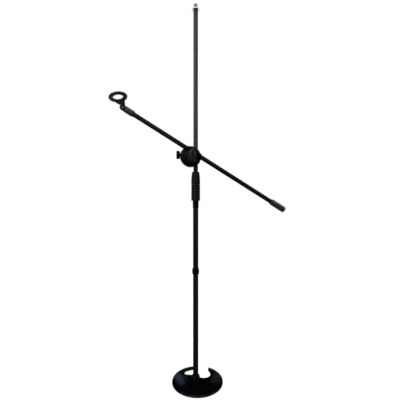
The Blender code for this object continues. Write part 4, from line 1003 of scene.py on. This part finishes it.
# Clip adapter. A nylon barrel with a brass thread insert that screws on the boom's stud.
# Its outer end is a fork of two round cheeks, and a dull plated pin riveted through them carries the clip.
CLIP_ROLL = math.radians(-15.7)
PIN_OUT, PIN_R, PIN_HEAD_R, PIN_TAIL = 0.0472, 0.0030, 0.0042, 0.0043
ADAPTER_R, SOCKET_R, SOCKET_END, MOUTH_R = 0.0125, 0.0103, 0.0270, 0.0094
FORK_R, FORK_GAP, FORK_HALF, FORK_EDGE = 0.0115, 0.0055, 0.010, 0.0008
FORK_FLOOR, FORK_ROOT = 0.0374, 0.034
adapter_x = math.cos(CLIP_ROLL) * boom_place[1] + math.sin(CLIP_ROLL) * boom_place[2]
adapter_y = np.cross(boom_place[3], adapter_x)
adapter_place = np.stack([boom_middle + BOOM_FRONT * boom_place[3], adapter_x, adapter_y, boom_place[3]])
barrel = softened(
    [
        (0, SOCKET_END, 0),
        (SOCKET_R, SOCKET_END, 0.0003),
        (SOCKET_R, 0.0013, 0.0002),
        (MOUTH_R, 0.0013, 0.0002),
        (MOUTH_R, 0.0004, 0.0002),
        (0.0108, 0.0004, 0.0004),
        (ADAPTER_R, 0.0076, 0.0020),
        (ADAPTER_R, 0.0360, 0.0012),
        (0.0112, FORK_FLOOR, 0.0006),
        (0, FORK_FLOOR, 0),
    ],
    6,
)
# The same nylon, with the higher gloss of a part that is handled at every show.
handled_nylon = polished_nylon.copy()
handled_nylon.name = "handled_black_nylon"
tree = handled_nylon.node_tree
feed(tree, tree.nodes["Principled BSDF"], {"Specular IOR Level": 0.42})
fit("adapter_barrel", turned(barrel, adapter_place), handled_nylon, "adapter", "clip_adapter")

cheek_round = circle((0, PIN_OUT), FORK_R, np.linspace(0, 180, 49))
cheek = np.vstack([cheek_round, [(-FORK_R, FORK_ROOT), (FORK_R, FORK_ROOT)]])
cheek = even(looped(cheek), 121)[:-1]


def fork_cheek(side):
    """One cheek: the round-ended outline at each depth, no wider than the barrel's own circle there."""
    grid = slab(POLE, cheek, FORK_GAP, FORK_HALF, FORK_EDGE)
    widest = np.sqrt(ADAPTER_R**2 - grid[..., 0] ** 2)
    grid[..., 1] = np.clip(grid[..., 1], -widest, widest)
    grid[..., 0] *= side
    return adapter_place[0] + grid @ adapter_place[1:]


for cheek_name, cheek_side in (("adapter_cheek_front", 1), ("adapter_cheek_rear", -1)):
    cheek_grid = fork_cheek(cheek_side)
    fit(cheek_name, cheek_grid, polished_nylon, "adapter", "clip_adapter", caps=True)

pin_place = adapter_place.copy()
pin_place[0] = adapter_place[0] + PIN_OUT * adapter_place[3]
pin_place[1], pin_place[3] = -adapter_place[3], adapter_place[1]
pin = softened(
    [
        (0, FORK_HALF + 0.0023, 0),
        (0.0026, FORK_HALF + 0.0021, 0.0014),
        (PIN_HEAD_R, FORK_HALF + 0.0010, 0.0006),
        (PIN_HEAD_R, FORK_HALF + 0.0003, 0.0003),
        (PIN_R, FORK_HALF + 0.0003, 0.0002),
        (PIN_R, -FORK_HALF - PIN_TAIL, 0.0006),
        (0, -FORK_HALF - PIN_TAIL, 0),
    ]
)
# A dark plate on a riveted head, with a cloudy wear of about 1.5 mm from the tool that closed it.
dull_nickel = plated("dull_black_nickel", 0.0015, ("#73767b", "#56595e"), (0.38, 0.52))
fit("clip_pin_rivet", turned(pin, pin_place, 48), dull_nickel, "adapter", "clip_pin")
finish_solids({"adapter_insert": brass, "pin_nut": zinc})


# Microphone clip. One nylon moulding: a flat ring that the microphone drops into, a gusset under its
# far side, and a tongue that tilts on the pin between the adapter's cheeks.
CLIP_TILT = math.radians(43)
RING_LEAN = math.radians(24)
RING_RISE, RING_OUT, RING_FRONT = 0.0378, 0.005, 0.0243
RING_R, RING_HOLE_R, RING_HALF = 0.0345, 0.0182, 0.0046
TONGUE_R, GUSSET_HALF, GUSSET_EDGE = 0.0092, 0.0052, 0.0012
NECK_TOP = RING_RISE - RING_FRONT * math.tan(RING_LEAN)
clip_y = math.cos(CLIP_TILT) * adapter_place[2] + math.sin(CLIP_TILT) * adapter_place[3]
clip_z = np.cross(adapter_x, clip_y)
clip_place = np.stack([pin_place[0], adapter_x, clip_y, clip_z])
ring_middle = clip_place[0] + np.array([RING_FRONT, RING_RISE, RING_OUT]) @ clip_place[1:]
ring_x = math.cos(RING_LEAN) * adapter_x + math.sin(RING_LEAN) * clip_y
ring_z = math.cos(RING_LEAN) * clip_y - math.sin(RING_LEAN) * adapter_x
ring_place = np.stack([ring_middle, ring_x, -clip_z, ring_z])
ring_turn = np.linspace(math.pi, -math.pi, 33)
ring_across = np.sign(np.cos(ring_turn)) * np.abs(np.cos(ring_turn)) ** 0.9
ring_up = np.sign(np.sin(ring_turn)) * np.abs(np.sin(ring_turn)) ** 0.8
ring_radius = (RING_R + RING_HOLE_R) / 2 + (RING_R - RING_HOLE_R) / 2 * ring_across
ring_section = np.stack([ring_radius, RING_HALF * ring_up], axis=1)
fit("clip_ring", turned(ring_section, ring_place, 144), handled_nylon, "clip", "mic_clip")
gusset = np.vstack(
    [
        circle((0, 0), TONGUE_R, np.linspace(120, 262, 24)),
        softened(
            [
                (0.0000, -TONGUE_R, 0),
                (0.0120, -0.0102, 0.005),
                (NECK_TOP - 0.003, -0.0122, 0.004),
                (NECK_TOP, -0.0140, 0),
                (NECK_TOP, 0.0225, 0),
                (0.0205, 0.0215, 0.004),
                (0.0085, 0.0047, 0.003),
            ]
        ),
    ]
)
gusset = even(looped(gusset), 161)[:-1]
gusset_grid = slab(clip_place, gusset, -GUSSET_HALF, GUSSET_HALF, GUSSET_EDGE)
fit("clip_gusset", gusset_grid, polished_nylon, "clip", "mic_clip", caps=True)
